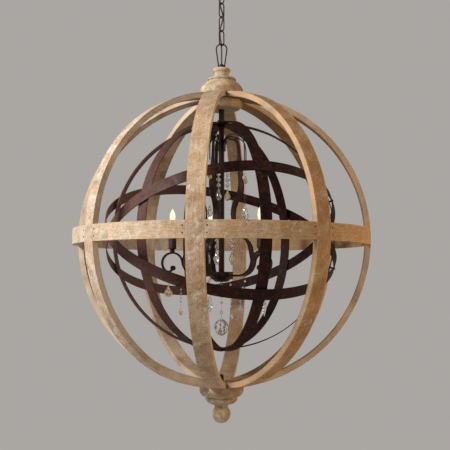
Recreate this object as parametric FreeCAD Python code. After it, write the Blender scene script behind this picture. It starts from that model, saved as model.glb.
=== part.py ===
import FreeCAD, Part
import math
import os

from FreeCAD import Rotation, Vector

# An orb chandelier: a wooden orb of eight ribs, an iron orb inside it, five candle arms on a stem,
# crystals, and a chain with a supply cord up to a ceiling canopy. Millimetres, +Z up.
# The row's origin is on the ceiling, on the chandelier's axis. Heights of the hanging pieces are
# written from the centre of the wooden orb. Azimuth 0 is -Y and grows towards +X.

# Wooden orb
ORB_R = 432.0               # outer face of the ribs
RIB_COUNT = 8
RIB_W = 46.0
RIB_T = 16.0
MITRE_GAP = 0.5             # between the mitred rib ends at the poles
RING_H = 44.0               # equator ring
RING_Z = 2.0                # middle of the ring above the orb's centre
BUTT_GAP = 0.3              # between a ring segment's end and the rib that it butts on
NAIL_R = 1.2
NAIL_HEAD_R = 2.0
NAIL_HEAD_T = 0.6
NAIL_LENGTH = 14.0
NAIL_INSET = 7.0            # from the rib's edge
NAIL_RISE = 9.0             # above and below the middle of the ring

# Turned wooden pieces, with heights measured outwards from the pole that they sit on
FLANGE_R = 64.5
FINIAL_H = 79.0
FINIAL_STEP_R = 43.5
FINIAL_STEP_H = 48.0
FINIAL_NECK_R = 22.0
FINIAL_LIP_R = 27.0
DROP_STEP_R = 46.0
DROP_STEP_H = 41.0
DROP_NECK_R = 19.8
DROP_BALL_R = 26.6
DROP_BALL_H = 76.0          # centre of the ball
INNER_DISC_R = 63.0
INNER_DISC_H = 29.0
SEAT_GAP = 0.1              # between turned pieces and the rib faces that they sit on

# Threaded nipples, stem and the bolt at the lower pole
NIPPLE_R = 5.0
NIPPLE_BORE_R = 2.8
THREAD_GAP = 0.05
NIPPLE_PROUD = 4.0          # nipple past its collar
NIPPLE_GRIP = 24.0          # nipple inside the stem
POLE_HOLE_GAP = 0.6
STEM_R = 8.5
POLE_BOLT_R = 4.0
POLE_BOLT_GRIP = 40.0       # bolt inside the lower finial
CAP_NUT_R = 6.5
CAP_NUT_H = 15.0
NUT_R = 13.0
NUT_H = 6.5

# Iron orb
HOOP_HEADROOM = 40.0        # from the outermost hoop up to the inner disc
HOOP_STEP = 3.0             # from one nested hoop to the next
HOOP_T = 2.5
HOOP_W = 32.0
HOOP_Z = 10.0
HOOP_AZIMUTHS = (88.5, 149.5, 28.5)
TILT_AZIMUTH = 30.5         # azimuth where the rising tilted hoop is highest
TILTS = (-29.5, 29.5)
RIVET_R = 2.5
RIVET_HEAD_R = 5.5
RIVET_HEAD_H = 2.4
RIVET_TAIL_H = 1.5
RIVET_GAP = 0.1

# Arm hub
HUB_R = 34.0
HUB_TOP = -97.0
HUB_H = 22.0
HUB_CAP_R = 26.0
HUB_CAP_H = 7.0
TENON = 6.0                 # arm inside the hub
WELD_GAP = 0.1

# Arms: flat bars that rise and curl over
ARM_COUNT = 5
ARM_AZIMUTH = 58.0
ARM_W = 15.0
ARM_T = 5.5
ARM_BEND_R = 46.0
CANDLE_R = 146.0            # candle from the axis
CURL_R = 30.0
CURL_TOP = -38.0            # upper face of the curl
CURL_END_R = 14.0
CURL_TURN = -45.0           # where the curl tightens
CURL_END = -165.0           # where it ends in a roll
CURL_ROLL_R = 7.3

# S-scrolls: flat bars, widest at the belly
SCROLL_T = 4.0
SCROLL_HEADROOM = 37.5      # from the scroll's top up to the innermost hoop
SCROLL_TAB = 39.0           # from the scroll's top down to the end of its tab
SCROLL_TOP_R = 25.5
SCROLL_BELLY = 73.0         # bar's middle from the axis
SCROLL_BELLY_R = 68.0
SCROLL_BELLY_Z = 160.0
SCROLL_WAIST = 44.0
SCROLL_WAIST_R = 80.0
SCROLL_FOOT = 108.0
SCROLL_FOOT_R = 46.0
SCROLL_FOOT_TURN = 12.0     # degrees above level where the foot runs straight into the arm
SCROLL_FOOT_RUN = 42.0
SCROLL_WIDTHS = ((302.0, 7.0), (240.0, 7.5), (190.0, 15.0), (150.0, 17.0), (60.0, 15.0), (-80.0, 12.0))

# Candles
CUP_STEM_R = 7.3
CUP_STEM_H = 9.0
CUP_R = 12.5
CUP_H = 2.0
SLEEVE_R = 11.5
SLEEVE_WALL = 1.2
SLEEVE_H = 72.0
HOLDER_GAP = 0.3
HOLDER_SHORT = 5.0          # lampholder below the sleeve's rim
BULB_BASE_R = 6.0
BULB_BASE_H = 20.0
BULB_GAP = 0.15
BULB_R = 8.9
BULB_H = 51.0

# Crystals: every string hangs by a ring in an eye
EYE_R = 3.0
EYE_WIRE = 0.8
RING_R = 3.0
RING_WIRE = 0.7
SWING_GAP = 0.3
STRING_WIRE = 0.6
BALL_R = 22.0
BALL_H = 50.0
BALL_RISE = 35.0            # ball's tip above the hoops

# Chain, loops and cord
LINK_COUNT = 4
LINK_L = 50.0
LINK_W = 23.0
LINK_WIRE = 3.6             # diameter
CONTACT_GAP = 0.3
LOOP_AZIMUTH = 98.6         # loops lie along this azimuth, links 45 degrees to either side
LOOP_WIRE = 4.0             # diameter
LOOP_W = 35.8
LOOP_H = 67.7               # above the collar
LOOP_LEG = 9.2              # leg from the axis
LOOP_SINK = 3.0             # legs inside the collar
COLLAR_R = 11.5
COLLAR_H = 10.0
CORD_D = 4.4
CORD_SWAY = 7.7             # corner of the cord's route from the axis
CORD_BEND = 30.0
CORD_IN = 14.0              # cord inside each nipple
CORD_LEAD = 15.0            # straight run out of each nipple

# Canopy
CANOPY_R = 62.0
CANOPY_H = 32.0
CANOPY_WALL = 1.5
CANOPY_RIM = 6.0
CROSSBAR_L = 106.0
CROSSBAR_W = 22.0
CROSSBAR_T = 2.5
BOX_SCREW_SPACING = 88.9
BOX_SCREW_HOLE_R = 2.4

# Heights that follow from the sizes above
LINK_REACH = LINK_L / 2 - LINK_WIRE / 2
LINK_PITCH = 2 * LINK_REACH - LINK_WIRE - CONTACT_GAP
LOOP_CONTACT = LOOP_WIRE / 2 + LINK_WIRE / 2 + CONTACT_GAP
CANOPY_LOOP_Z = -CANOPY_H - COLLAR_H - LOOP_H + LOOP_WIRE / 2
FIRST_LINK_Z = CANOPY_LOOP_Z + LOOP_CONTACT - LINK_REACH
LAST_LINK_Z = FIRST_LINK_Z - (LINK_COUNT - 1) * LINK_PITCH
HUB_LOOP_Z = LAST_LINK_Z - LINK_REACH + LOOP_CONTACT
COLLAR_TOP = ORB_R + FINIAL_H + COLLAR_H
ORB_Z = HUB_LOOP_Z - (COLLAR_TOP + LOOP_H - LOOP_WIRE / 2)
STEM_TOP = ORB_R - RIB_T - INNER_DISC_H
HOOP_R = STEM_TOP - HOOP_HEADROOM - HOOP_Z - (len(HOOP_AZIMUTHS) - 1) * HOOP_STEP
SCROLL_TOP = HOOP_Z + HOOP_R - HOOP_T - SCROLL_HEADROOM
SCROLL_TAB_LOW = SCROLL_TOP - SCROLL_TAB
HUB_BOTTOM = HUB_TOP - HUB_H
ARM_Z = HUB_TOP - HUB_H / 2
CURL_Z = CURL_TOP - ARM_T / 2 - CURL_R
CUP_TOP = CURL_TOP + CUP_STEM_H + CUP_H
SLEEVE_TOP = CUP_TOP + SLEEVE_H
BIG = 2 * ORB_R
ARM_AZIMUTHS = [ARM_AZIMUTH + k * 360.0 / ARM_COUNT for k in range(ARM_COUNT)]


def polar(azimuth, radius, height=0.0):
    """Point at an azimuth, a distance from the axis and a height."""
    turn = math.radians(azimuth)
    return Vector(radius * math.sin(turn), -radius * math.cos(turn), height)


def turned_to(shape, azimuth):
    """Copy of a shape drawn along +X, turned about the axis to an azimuth."""
    copy = shape.copy()
    copy.rotate(Vector(), Vector(0, 0, 1), azimuth - 90)
    return copy


def raised(shape, height):
    """Copy of a shape moved up."""
    copy = shape.copy()
    copy.translate(Vector(0, 0, height))
    return copy


def rod(radius, low, high, at=0.0):
    """Upright round rod whose axis crosses +X at a distance from the origin."""
    return Part.makeCylinder(radius, high - low, Vector(at, 0, low))


def tube(radius, bore, low, high, at=0.0):
    """Upright tube."""
    return rod(radius, low, high, at).cut(rod(bore, low - 1, high + 1, at))


def in_plane(point):
    """Vector of an (r, z) point in the XZ plane."""
    return Vector(point[0], 0, point[1])


def outline(start, steps):
    """Face in the XZ plane: a step of one point is a line, of two an arc through the first."""
    edges = []
    here = start
    for step in steps + [(start,)]:
        if step[-1] == here:
            continue
        if len(step) == 2:
            edges.append(Part.Arc(in_plane(here), in_plane(step[0]), in_plane(step[1])).toShape())
        else:
            edges.append(Part.LineSegment(in_plane(here), in_plane(step[0])).toShape())
        here = step[-1]
    return Part.Face(Part.Wire(edges))


def turned(start, steps, at=0.0):
    """Solid of revolution about an upright axis that crosses +X."""
    solid = outline(start, steps).revolve(Vector(), Vector(0, 0, 1), 360)
    solid.translate(Vector(at, 0, 0))
    return solid


def ball_height(ball_r, distance):
    """Height of a ball's surface at a distance from its axis."""
    return math.sqrt(ball_r ** 2 - distance ** 2)


def on_circle(centre, radius, angle):
    """Point of a circle in the XZ plane."""
    turn = math.radians(angle)
    return (centre[0] + radius * math.cos(turn), centre[1] + radius * math.sin(turn))


def arc_steps(centre, radius, first, last):
    """Start, middle and end points of an arc in the XZ plane."""
    return [on_circle(centre, radius, a) for a in (first, (first + last) / 2, last)]


def flat_bar(start, arcs, end, thickness, width):
    """Bar bent in the XZ plane: arcs of (centre, radius, first, last), joined by straight runs."""
    left = []
    right = []
    here = start
    for centre, radius, first, last in arcs:
        entry = on_circle(centre, radius, first)
        add_run(left, right, here, entry, thickness / 2)
        turn = 1 if last > first else -1
        for side, reach in ((left, radius - turn * thickness / 2), (right, radius + turn * thickness / 2)):
            points = [in_plane(p) for p in arc_steps(centre, reach, first, last)]
            side.append(Part.Arc(*points).toShape())
        here = on_circle(centre, radius, last)
    if end:
        add_run(left, right, here, end, thickness / 2)
    corners = [(left[i].Vertexes[i].Point, right[i].Vertexes[i].Point) for i in (0, -1)]
    caps = [Part.LineSegment(*pair).toShape() for pair in corners]
    loop = Part.Wire(left + [caps[1]] + right[::-1] + [caps[0]])
    bar = Part.Face(loop).extrude(Vector(0, width, 0))
    bar.translate(Vector(0, -width / 2, 0))
    return bar


def add_run(left, right, here, there, half):
    """Straight run of a flat bar, added to its two sides."""
    length = math.hypot(there[0] - here[0], there[1] - here[1])
    if length < 1e-6:
        return
    across = (-(there[1] - here[1]) / length * half, (there[0] - here[0]) / length * half)
    for side, sign in ((left, 1), (right, -1)):
        ends = [in_plane((p[0] + sign * across[0], p[1] + sign * across[1])) for p in (here, there)]
        side.append(Part.LineSegment(*ends).toShape())


def round_wire(edges, diameter):
    """Round wire swept along a path of joined edges."""
    path = Part.Wire(edges)
    first = edges[0]
    start = first.valueAt(first.FirstParameter)
    section = Part.Wire(Part.makeCircle(diameter / 2, start, first.tangentAt(first.FirstParameter)))
    return path.makePipeShell([section], True, False)


def rib(azimuth):
    """Half rib from pole to pole, its ends mitred to meet the seven others."""
    half = RIB_W / 2
    inner = ORB_R - RIB_T
    corners = [Vector(0, -half, inner), Vector(0, half, inner)]
    corners += [Vector(0, half, ORB_R), Vector(0, -half, ORB_R)]
    bow = Part.Face(Part.makePolygon(corners + corners[:1])).revolve(Vector(), Vector(0, 1, 0), 180)
    slope = math.tan(math.pi / RIB_COUNT)
    tip = MITRE_GAP / 2 / math.sin(math.pi / RIB_COUNT)
    side = (BIG - tip) * slope
    wedge = [Vector(tip, 0, -BIG), Vector(BIG, -side, -BIG), Vector(BIG, side, -BIG)]
    wedge = Part.Face(Part.makePolygon(wedge + wedge[:1])).extrude(Vector(0, 0, 2 * BIG))
    bow = bow.common(wedge)
    bow = bow.cut(rod(NIPPLE_R + POLE_HOLE_GAP, 0, BIG))
    bow = bow.cut(rod(POLE_BOLT_R + POLE_HOLE_GAP, -BIG, 0))
    return turned_to(bow, azimuth)


def nail(at_azimuth, height):
    """Nail driven inwards through the ring's outer face."""
    outward = polar(at_azimuth, 1)
    face = polar(at_azimuth, ORB_R, height)
    shank = Part.makeCylinder(NAIL_R, NAIL_LENGTH, face - outward * NAIL_LENGTH, outward)
    return shank.fuse(Part.makeCylinder(NAIL_HEAD_R, NAIL_HEAD_T, face, outward)).removeSplitter()


def nails():
    """Two nails at each end of each ring segment."""
    made = []
    inset = math.degrees((RIB_W / 2 + NAIL_INSET) / ORB_R)
    for k in range(RIB_COUNT):
        for side in (-1, 1):
            for rise in (-NAIL_RISE, NAIL_RISE):
                made.append(nail(k * 360 / RIB_COUNT + side * inset, RING_Z + rise))
    return made


def ring_segments():
    """Equator ring, cut into the pieces between the ribs and bored for the nails."""
    low = RING_Z - RING_H / 2
    ring = tube(ORB_R, ORB_R - RIB_T, low, low + RING_H)
    gap = RIB_W + 2 * BUTT_GAP
    slot = Part.makeBox(4 * RIB_T, gap, 2 * RING_H, Vector(ORB_R - 3 * RIB_T, -gap / 2, RING_Z - RING_H))
    slots = [turned_to(slot, k * 360 / RIB_COUNT) for k in range(RIB_COUNT)]
    return ring.cut(slots + nails()).Solids


def top_finial():
    """Turned finial over the upper rib ends."""
    seat = math.hypot(ORB_R, RIB_W / 2) + SEAT_GAP
    bore = NIPPLE_R + SEAT_GAP
    edge = ball_height(seat, FLANGE_R)
    mid = FLANGE_R / 2
    top = ORB_R + FINIAL_H
    step = ORB_R + FINIAL_STEP_H
    neck = (top + step) / 2
    steps = [
        ((bore, top),),
        ((FINIAL_LIP_R - 7, top),),
        ((FINIAL_LIP_R - 1.5, top - 1.8), (FINIAL_LIP_R, top - 5.5)),
        ((FINIAL_LIP_R - 0.9, top - 9.5), (FINIAL_NECK_R + 1, top - 13)),
        ((FINIAL_NECK_R, neck - 2.5), (FINIAL_NECK_R + 12, step + 1.5)),
        ((FINIAL_STEP_R - 2, step),),
        ((FINIAL_STEP_R, step - 3), (FINIAL_STEP_R - 1, step - 6.5)),
        ((FINIAL_STEP_R - 3.5, step - 8),),
        ((FINIAL_STEP_R, step - 10.5),),
        ((FINIAL_STEP_R + 11.5, step - 19.5), (FLANGE_R, ORB_R + 12)),
        ((FLANGE_R, edge),),
        ((mid, ball_height(seat, mid)), (bore, ball_height(seat, bore))),
    ]
    return turned((bore, ball_height(seat, bore)), steps)


def bottom_finial():
    """Turned drop under the lower rib ends, with its ball."""
    seat = math.hypot(ORB_R, RIB_W / 2) + SEAT_GAP
    bore = POLE_BOLT_R + SEAT_GAP
    edge = ball_height(seat, FLANGE_R)
    mid = FLANGE_R / 2
    step = ORB_R + DROP_STEP_H
    ball = ORB_R + DROP_BALL_H
    join = ball - ball_height(DROP_BALL_R, DROP_NECK_R + 0.6)
    steps = [
        ((FLANGE_R + 0.5, ORB_R + 5),),
        ((FLANGE_R - 2, ORB_R + 15), (DROP_STEP_R + 6, step - 16)),
        ((DROP_STEP_R - 0.5, step - 14),),
        ((DROP_STEP_R, step - 6), (DROP_STEP_R - 4, step)),
        ((DROP_STEP_R - 12, step + 5), (DROP_NECK_R + 3.2, step + 7.5)),
        ((DROP_NECK_R - 0.5, join - 4.5), (DROP_NECK_R + 0.6, join)),
        ((DROP_BALL_R, ball), (0, ball + DROP_BALL_R)),
        ((0, ORB_R + POLE_BOLT_GRIP + 1),),
        ((bore, ORB_R + POLE_BOLT_GRIP + 1),),
        ((bore, ball_height(seat, bore)),),
        ((mid, ball_height(seat, mid)), (FLANGE_R, edge)),
    ]
    drop = turned((FLANGE_R, edge), steps)
    drop.rotate(Vector(), Vector(1, 0, 0), 180)
    return drop


def inner_disc():
    """Turned disc under the upper rib ends."""
    seat = ORB_R - RIB_T - SEAT_GAP
    bore = NIPPLE_R + SEAT_GAP
    shoulder = INNER_DISC_R - 3
    mid = INNER_DISC_R / 2
    steps = [
        ((mid, ball_height(seat, mid)), (shoulder, ball_height(seat, shoulder))),
        ((INNER_DISC_R, STEM_TOP + INNER_DISC_H * 0.55), (INNER_DISC_R - 4, STEM_TOP + INNER_DISC_H * 0.2)),
        ((INNER_DISC_R - 8.5, STEM_TOP + INNER_DISC_H * 0.05), (INNER_DISC_R - 16, STEM_TOP)),
        ((bore, STEM_TOP),),
    ]
    return turned((bore, ball_height(seat, bore)), steps)


def pole_bolt():
    """Bolt from the lower finial up through the rib ends, with its cap nut."""
    seat = ORB_R - RIB_T - SEAT_GAP
    top = -seat + CAP_NUT_H
    nut = rod(CAP_NUT_R, -seat, top).fuse(Part.makeSphere(CAP_NUT_R, Vector(0, 0, top)))
    return nut.fuse(rod(POLE_BOLT_R, -ORB_R - POLE_BOLT_GRIP, top)).removeSplitter()


def stem_nuts():
    """Lock nuts above and below the hoops, on the stem."""
    outer = HOOP_R + HOOP_STEP * (len(HOOP_AZIMUTHS) - 1)
    drop = HOOP_R - HOOP_T - ball_height(HOOP_R - HOOP_T, NUT_R)
    above = HOOP_Z + outer + SEAT_GAP
    below = HOOP_Z + HOOP_R - HOOP_T - drop - SEAT_GAP
    bore = STEM_R + THREAD_GAP
    blank = Part.Face(Part.makePolygon([polar(60 * k, NUT_R) for k in range(7)])).extrude(Vector(0, 0, NUT_H))
    nuts = [raised(blank, above), raised(blank, below - NUT_H)]
    return [nut.cut(rod(bore, 0, BIG)) for nut in nuts]


def hoop_radius(place):
    """Outer radius of a nested hoop: places run from the innermost upright to the outer tilted one."""
    return HOOP_R + HOOP_STEP * place


def hoop_blank(place, axis):
    """Flat strip bent into a full circle about an axis through the iron orb's centre."""
    centre = Vector(0, 0, HOOP_Z)
    base = centre - axis * (HOOP_W / 2)
    radius = hoop_radius(place)
    return Part.makeCylinder(radius, HOOP_W, base, axis).cut(
        Part.makeCylinder(radius - HOOP_T, 3 * HOOP_W, base - axis * HOOP_W, axis)
    )


def hoop_axes():
    """Axis of each hoop, uprights first."""
    axes = [polar(azimuth + 90, 1) for azimuth in HOOP_AZIMUTHS]
    hinge_line = polar(TILT_AZIMUTH + 90, 1)
    for tilt in TILTS:
        axes.append(Rotation(hinge_line, tilt).multVec(Vector(0, 0, 1)))
    return axes


def hoop_crossings():
    """Each place where two hoops cross: direction from the centre, inner and outer hoop."""
    axes = hoop_axes()
    uprights = len(HOOP_AZIMUTHS)
    found = []
    for a in range(len(axes)):
        for b in range(max(a + 1, uprights), len(axes)):
            line = axes[a].cross(axes[b]).normalize()
            found += [(line, a, b), (-line, a, b)]
    return found


def rivet(direction, inner, outer):
    """Round-headed rivet through two hoops, or through all uprights at the lower pole."""
    low = hoop_radius(inner) - HOOP_T - RIVET_GAP
    high = hoop_radius(outer) + RIVET_GAP
    dome_r = (RIVET_HEAD_R ** 2 + RIVET_HEAD_H ** 2) / (2 * RIVET_HEAD_H)
    half_turn = math.degrees(math.asin(RIVET_HEAD_R / dome_r)) / 2
    steps = [
        ((RIVET_HEAD_R - 1, low - RIVET_TAIL_H),),
        ((RIVET_HEAD_R, low),),
        ((RIVET_R, low),),
        ((RIVET_R, high),),
        ((RIVET_HEAD_R, high),),
        (on_circle((0, high + RIVET_HEAD_H - dome_r), dome_r, 90 - half_turn), (0, high + RIVET_HEAD_H)),
    ]
    made = turned((0, low - RIVET_TAIL_H), steps)
    made.Placement = FreeCAD.Placement(Vector(0, 0, HOOP_Z), Rotation(Vector(0, 0, 1), direction))
    return made


def rivets():
    """Rivets at all crossings, and the one through the uprights at the lower pole."""
    made = [rivet(*crossing) for crossing in hoop_crossings()]
    made.append(rivet(Vector(0, 0, -1), 0, len(HOOP_AZIMUTHS) - 1))
    return made


def hoops():
    """The five hoops, bored for the stem and for the rivets."""
    bores = [rod(STEM_R + SEAT_GAP, 0, BIG), rod(RIVET_R + RIVET_GAP, -BIG, 0)]
    centre = Vector(0, 0, HOOP_Z)
    for line, _, _ in hoop_crossings():
        bores.append(Part.makeCylinder(RIVET_R + RIVET_GAP, 2 * HOOP_R, centre, line))
    made = []
    for place, axis in enumerate(hoop_axes()):
        blank = hoop_blank(place, axis)
        near = [bore for bore in bores if bore.distToShape(blank)[0] < RIVET_R]
        made.append(blank.cut(near))
    return made


def eye(at, height, radial=True):
    """Wire eye whose lowest point carries a string."""
    across = Vector(0, 1, 0) if radial else Vector(1, 0, 0)
    return Part.makeTorus(EYE_R, EYE_WIRE, Vector(at, 0, height), across)


def hang_height(eye_height):
    """Height of a string's top ring in an eye."""
    return eye_height - EYE_R + EYE_WIRE + RING_WIRE + SWING_GAP - RING_R


def string(at, eye_height, beads, radial=True):
    """Crystals on one wire: beads of (distance below the ring, half width, half height)."""
    top = hang_height(eye_height)
    along = Vector(1, 0, 0) if radial else Vector(0, 1, 0)
    ring = Part.makeTorus(RING_R, RING_WIRE, Vector(at, 0, top), along)
    end = top - beads[-1][0]
    pieces = [rod(STRING_WIRE, end, top - RING_R, at)]
    for below, half_w, half_h in beads:
        z = top - below
        steps = [((half_w * 0.6, z + half_h * 0.62),), ((half_w, z + half_h * 0.1),),
                 ((half_w, z - half_h * 0.1),), ((half_w * 0.6, z - half_h * 0.62),), ((0, z - half_h),)]
        pieces.append(turned((0, z + half_h), steps, at))
    return ring.fuse(pieces).removeSplitter()


def hub_axle_bore():
    """Radius of the hole that takes the stem."""
    return STEM_R + WELD_GAP


def arm_hub():
    """Round hub on the stem's foot, slotted for the arms."""
    hub = tube(HUB_R, hub_axle_bore(), HUB_BOTTOM, HUB_TOP)
    slot_h = ARM_T + 2 * WELD_GAP
    slot_w = ARM_W + 2 * WELD_GAP
    slot = Part.makeBox(2 * TENON, slot_w, slot_h, Vector(HUB_R - TENON, -slot_w / 2, ARM_Z - slot_h / 2))
    return hub.cut([turned_to(slot, azimuth) for azimuth in ARM_AZIMUTHS])


def hub_eye_height():
    """Middle of the eye under the hub cap."""
    return HUB_BOTTOM - HUB_CAP_H - EYE_R - EYE_WIRE / 2


def hub_cap():
    """Cap under the hub, over the stem's end, with the eye for the centre string."""
    top = HUB_BOTTOM - WELD_GAP
    low = HUB_BOTTOM - HUB_CAP_H
    steps = [
        ((hub_axle_bore(), top),),
        ((HUB_CAP_R, top),),
        ((HUB_CAP_R - 3, top - HUB_CAP_H / 2), (STEM_R, low)),
        ((0, low),),
        ((0, low + HUB_CAP_H / 2),),
    ]
    cap = turned((hub_axle_bore(), low + HUB_CAP_H / 2), steps)
    return cap.fuse(eye(0, hub_eye_height())).removeSplitter()


def curl_centres():
    """Centres of the arm's bend, its curl and its tight end."""
    rise = CURL_Z - (ARM_Z + ARM_BEND_R)
    bend = (CANDLE_R - math.sqrt((ARM_BEND_R + CURL_R) ** 2 - rise ** 2), ARM_Z + ARM_BEND_R)
    curl = (CANDLE_R, CURL_Z)
    tight = on_circle(curl, CURL_R - CURL_END_R, CURL_TURN)
    return bend, curl, tight


def arm_eye():
    """Place of the eye under an arm's curl: distance from the axis and height."""
    tight = curl_centres()[2]
    return tight[0], tight[1] - CURL_END_R - ARM_T / 2 - EYE_R - EYE_WIRE / 2


def arm_bar():
    """Arm along +X: out of the hub, up, over the curl and back into a roll."""
    bend, curl, tight = curl_centres()
    meet = math.degrees(math.atan2(curl[1] - bend[1], curl[0] - bend[0]))
    arcs = [
        (bend, ARM_BEND_R, -90, meet),
        (curl, CURL_R, 180 + meet, CURL_TURN),
        (tight, CURL_END_R, CURL_TURN, CURL_END),
    ]
    bar = flat_bar((HUB_R - TENON + WELD_GAP, ARM_Z), arcs, None, ARM_T, ARM_W)
    tip = in_plane(on_circle(tight, CURL_END_R, CURL_END)) - Vector(0, ARM_W / 2, 0)
    roll = Part.makeCylinder(CURL_ROLL_R, ARM_W, tip, Vector(0, 1, 0))
    return bar.fuse([roll, eye(*arm_eye())]).removeSplitter()


def scroll_centres():
    """Centres of the scroll's four bends, from the top down."""
    top = (STEM_R + WELD_GAP + SCROLL_T / 2 + SCROLL_TOP_R, SCROLL_TOP - SCROLL_TOP_R)
    belly = (SCROLL_BELLY - SCROLL_BELLY_R, SCROLL_BELLY_Z)
    waist_r = SCROLL_WAIST + SCROLL_WAIST_R
    fall = math.sqrt((SCROLL_BELLY_R + SCROLL_WAIST_R) ** 2 - (waist_r - belly[0]) ** 2)
    waist = (waist_r, belly[1] - fall)
    foot_r = SCROLL_FOOT - SCROLL_FOOT_R
    fall = math.sqrt((SCROLL_WAIST_R + SCROLL_FOOT_R) ** 2 - (waist_r - foot_r) ** 2)
    foot = (foot_r, waist[1] - fall)
    return top, belly, waist, foot


def line_angle(a, b):
    """Direction from one point to another, in degrees."""
    return math.degrees(math.atan2(b[1] - a[1], b[0] - a[0]))


def scroll_eye():
    """Place of the eye inside the scroll's waist."""
    waist = scroll_centres()[2]
    return SCROLL_WAIST - SCROLL_T / 2 - EYE_R - EYE_WIRE / 2, waist[1]


def scroll_bar():
    """S-scroll along +X, from its tab on the stem to the arm that it is welded to."""
    top, belly, waist, foot = scroll_centres()
    spread = math.hypot(belly[0] - top[0], belly[1] - top[1])
    leave = line_angle(top, belly) + math.degrees(math.asin((SCROLL_BELLY_R - SCROLL_TOP_R) / spread)) + 90
    to_waist = line_angle(belly, waist)
    to_foot = line_angle(waist, foot)
    arcs = [
        (top, SCROLL_TOP_R, 180, leave),
        (belly, SCROLL_BELLY_R, leave, to_waist),
        (waist, SCROLL_WAIST_R, to_waist + 180, to_foot + 360),
        (foot, SCROLL_FOOT_R, to_foot + 180, SCROLL_FOOT_TURN),
    ]
    here = on_circle(foot, SCROLL_FOOT_R, SCROLL_FOOT_TURN)
    end = on_circle(here, SCROLL_FOOT_RUN, SCROLL_FOOT_TURN - 90)
    start = (top[0] - SCROLL_TOP_R, SCROLL_TAB_LOW)
    widest = max(width for _, width in SCROLL_WIDTHS)
    bar = flat_bar(start, arcs, end, SCROLL_T, widest)
    sides = [Vector(0, width / 2, z) for z, width in SCROLL_WIDTHS]
    sides += [Vector(0, -width / 2, z) for z, width in reversed(SCROLL_WIDTHS)]
    plan = Part.Face(Part.makePolygon(sides + sides[:1])).extrude(Vector(BIG, 0, 0))
    bar = bar.common(plan).cut(arm_bar())
    bar = max(bar.Solids, key=lambda solid: solid.Volume)
    return bar.fuse(eye(*scroll_eye())).removeSplitter()


def candle_cup():
    """Cup on top of the curl."""
    low = CURL_TOP + SEAT_GAP
    flare = CUP_TOP - CUP_H
    steps = [
        ((CUP_STEM_R, low),),
        ((CUP_STEM_R, flare - 2),),
        ((CUP_STEM_R + 1, flare - 0.5), (CUP_R, flare)),
        ((CUP_R, CUP_TOP),),
        ((0, CUP_TOP),),
    ]
    return turned((0, low), steps, CANDLE_R)


def lampholder():
    """Lampholder inside the sleeve, open at the top for the bulb's base."""
    top = SLEEVE_TOP - HOLDER_SHORT
    holder = rod(SLEEVE_R - SLEEVE_WALL - HOLDER_GAP, CUP_TOP, top, CANDLE_R)
    return holder.cut(rod(BULB_BASE_R + BULB_GAP, top - BULB_BASE_H - BULB_GAP, top + 1, CANDLE_R))


def bulb():
    """Flame bulb with its cap in the lampholder."""
    seat = SLEEVE_TOP - HOLDER_SHORT
    steps = [
        ((BULB_BASE_R, seat - BULB_BASE_H),),
        ((BULB_BASE_R, seat),),
        ((BULB_BASE_R - 0.8, seat + BULB_H * 0.06),),
        ((BULB_R, seat + BULB_H * 0.36), (BULB_R * 0.7, seat + BULB_H * 0.63)),
        ((BULB_R * 0.28, seat + BULB_H * 0.84), (BULB_R * 0.06, seat + BULB_H * 0.99)),
        ((0, seat + BULB_H),),
    ]
    return turned((0, seat - BULB_BASE_H), steps, CANDLE_R)


def all_round(shape):
    """One copy of a candle piece at each arm."""
    return Part.makeCompound([turned_to(shape, azimuth) for azimuth in ARM_AZIMUTHS])


def chain_link(height, azimuth):
    """Oval link of round wire."""
    half_w = (LINK_W - LINK_WIRE) / 2
    straight = LINK_REACH - half_w
    up = [in_plane(p) for p in arc_steps((0, straight), half_w, 0, 180)]
    down = [in_plane(p) for p in arc_steps((0, -straight), half_w, 180, 360)]
    edges = [Part.LineSegment(down[2], up[0]).toShape(), Part.Arc(*up).toShape(),
             Part.LineSegment(up[2], down[0]).toShape(), Part.Arc(*down).toShape()]
    return raised(turned_to(round_wire(edges, LINK_WIRE), azimuth), height)


def pear_loop():
    """Screw collar with a pear-shaped wire loop standing on it; the collar's top is at 0."""
    bow_r = (LOOP_W - LOOP_WIRE) / 2
    bow_z = LOOP_H - LOOP_WIRE / 2 - bow_r
    leg = math.hypot(bow_z, LOOP_LEG)
    lean = math.degrees(math.atan2(bow_z, LOOP_LEG) - math.acos(bow_r / leg))
    bow = [in_plane(p) for p in arc_steps((0, bow_z), bow_r, -lean, 180 + lean)]
    foot = Vector(LOOP_LEG, 0, 0)
    foot += (foot - bow[0]).normalize() * LOOP_SINK
    mirrored = Vector(-foot.x, 0, foot.z)
    edges = [Part.LineSegment(foot, bow[0]).toShape(), Part.Arc(*bow).toShape(),
             Part.LineSegment(bow[2], mirrored).toShape()]
    bore = rod(NIPPLE_R + THREAD_GAP, -2 * COLLAR_H, COLLAR_H)
    return rod(COLLAR_R, -COLLAR_H, 0).fuse(round_wire(edges, LOOP_WIRE)).cut(bore).removeSplitter()


def cord_route():
    """Corners of the cord's route: down both nipples, and round each crossing of the chain."""
    top = -CANOPY_H - COLLAR_H - NIPPLE_PROUD
    bottom = ORB_Z + COLLAR_TOP + NIPPLE_PROUD
    crossings = [CANOPY_LOOP_Z + LOOP_CONTACT / 2]
    for k in range(1, LINK_COUNT):
        crossings.append(FIRST_LINK_Z - (k - 0.5) * LINK_PITCH)
    crossings.append(HUB_LOOP_Z - LOOP_CONTACT / 2)
    points = [Vector(0, 0, top + CORD_IN), Vector(0, 0, top - CORD_LEAD)]
    last = len(crossings) - 1
    for k, height in enumerate(crossings):
        side = 90 if k in (0, last) else 180 * (k % 2)
        points.append(polar(LOOP_AZIMUTH + side, CORD_SWAY, height))
    return points + [Vector(0, 0, bottom + 2 * CORD_LEAD), Vector(0, 0, bottom - CORD_IN)]


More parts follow.
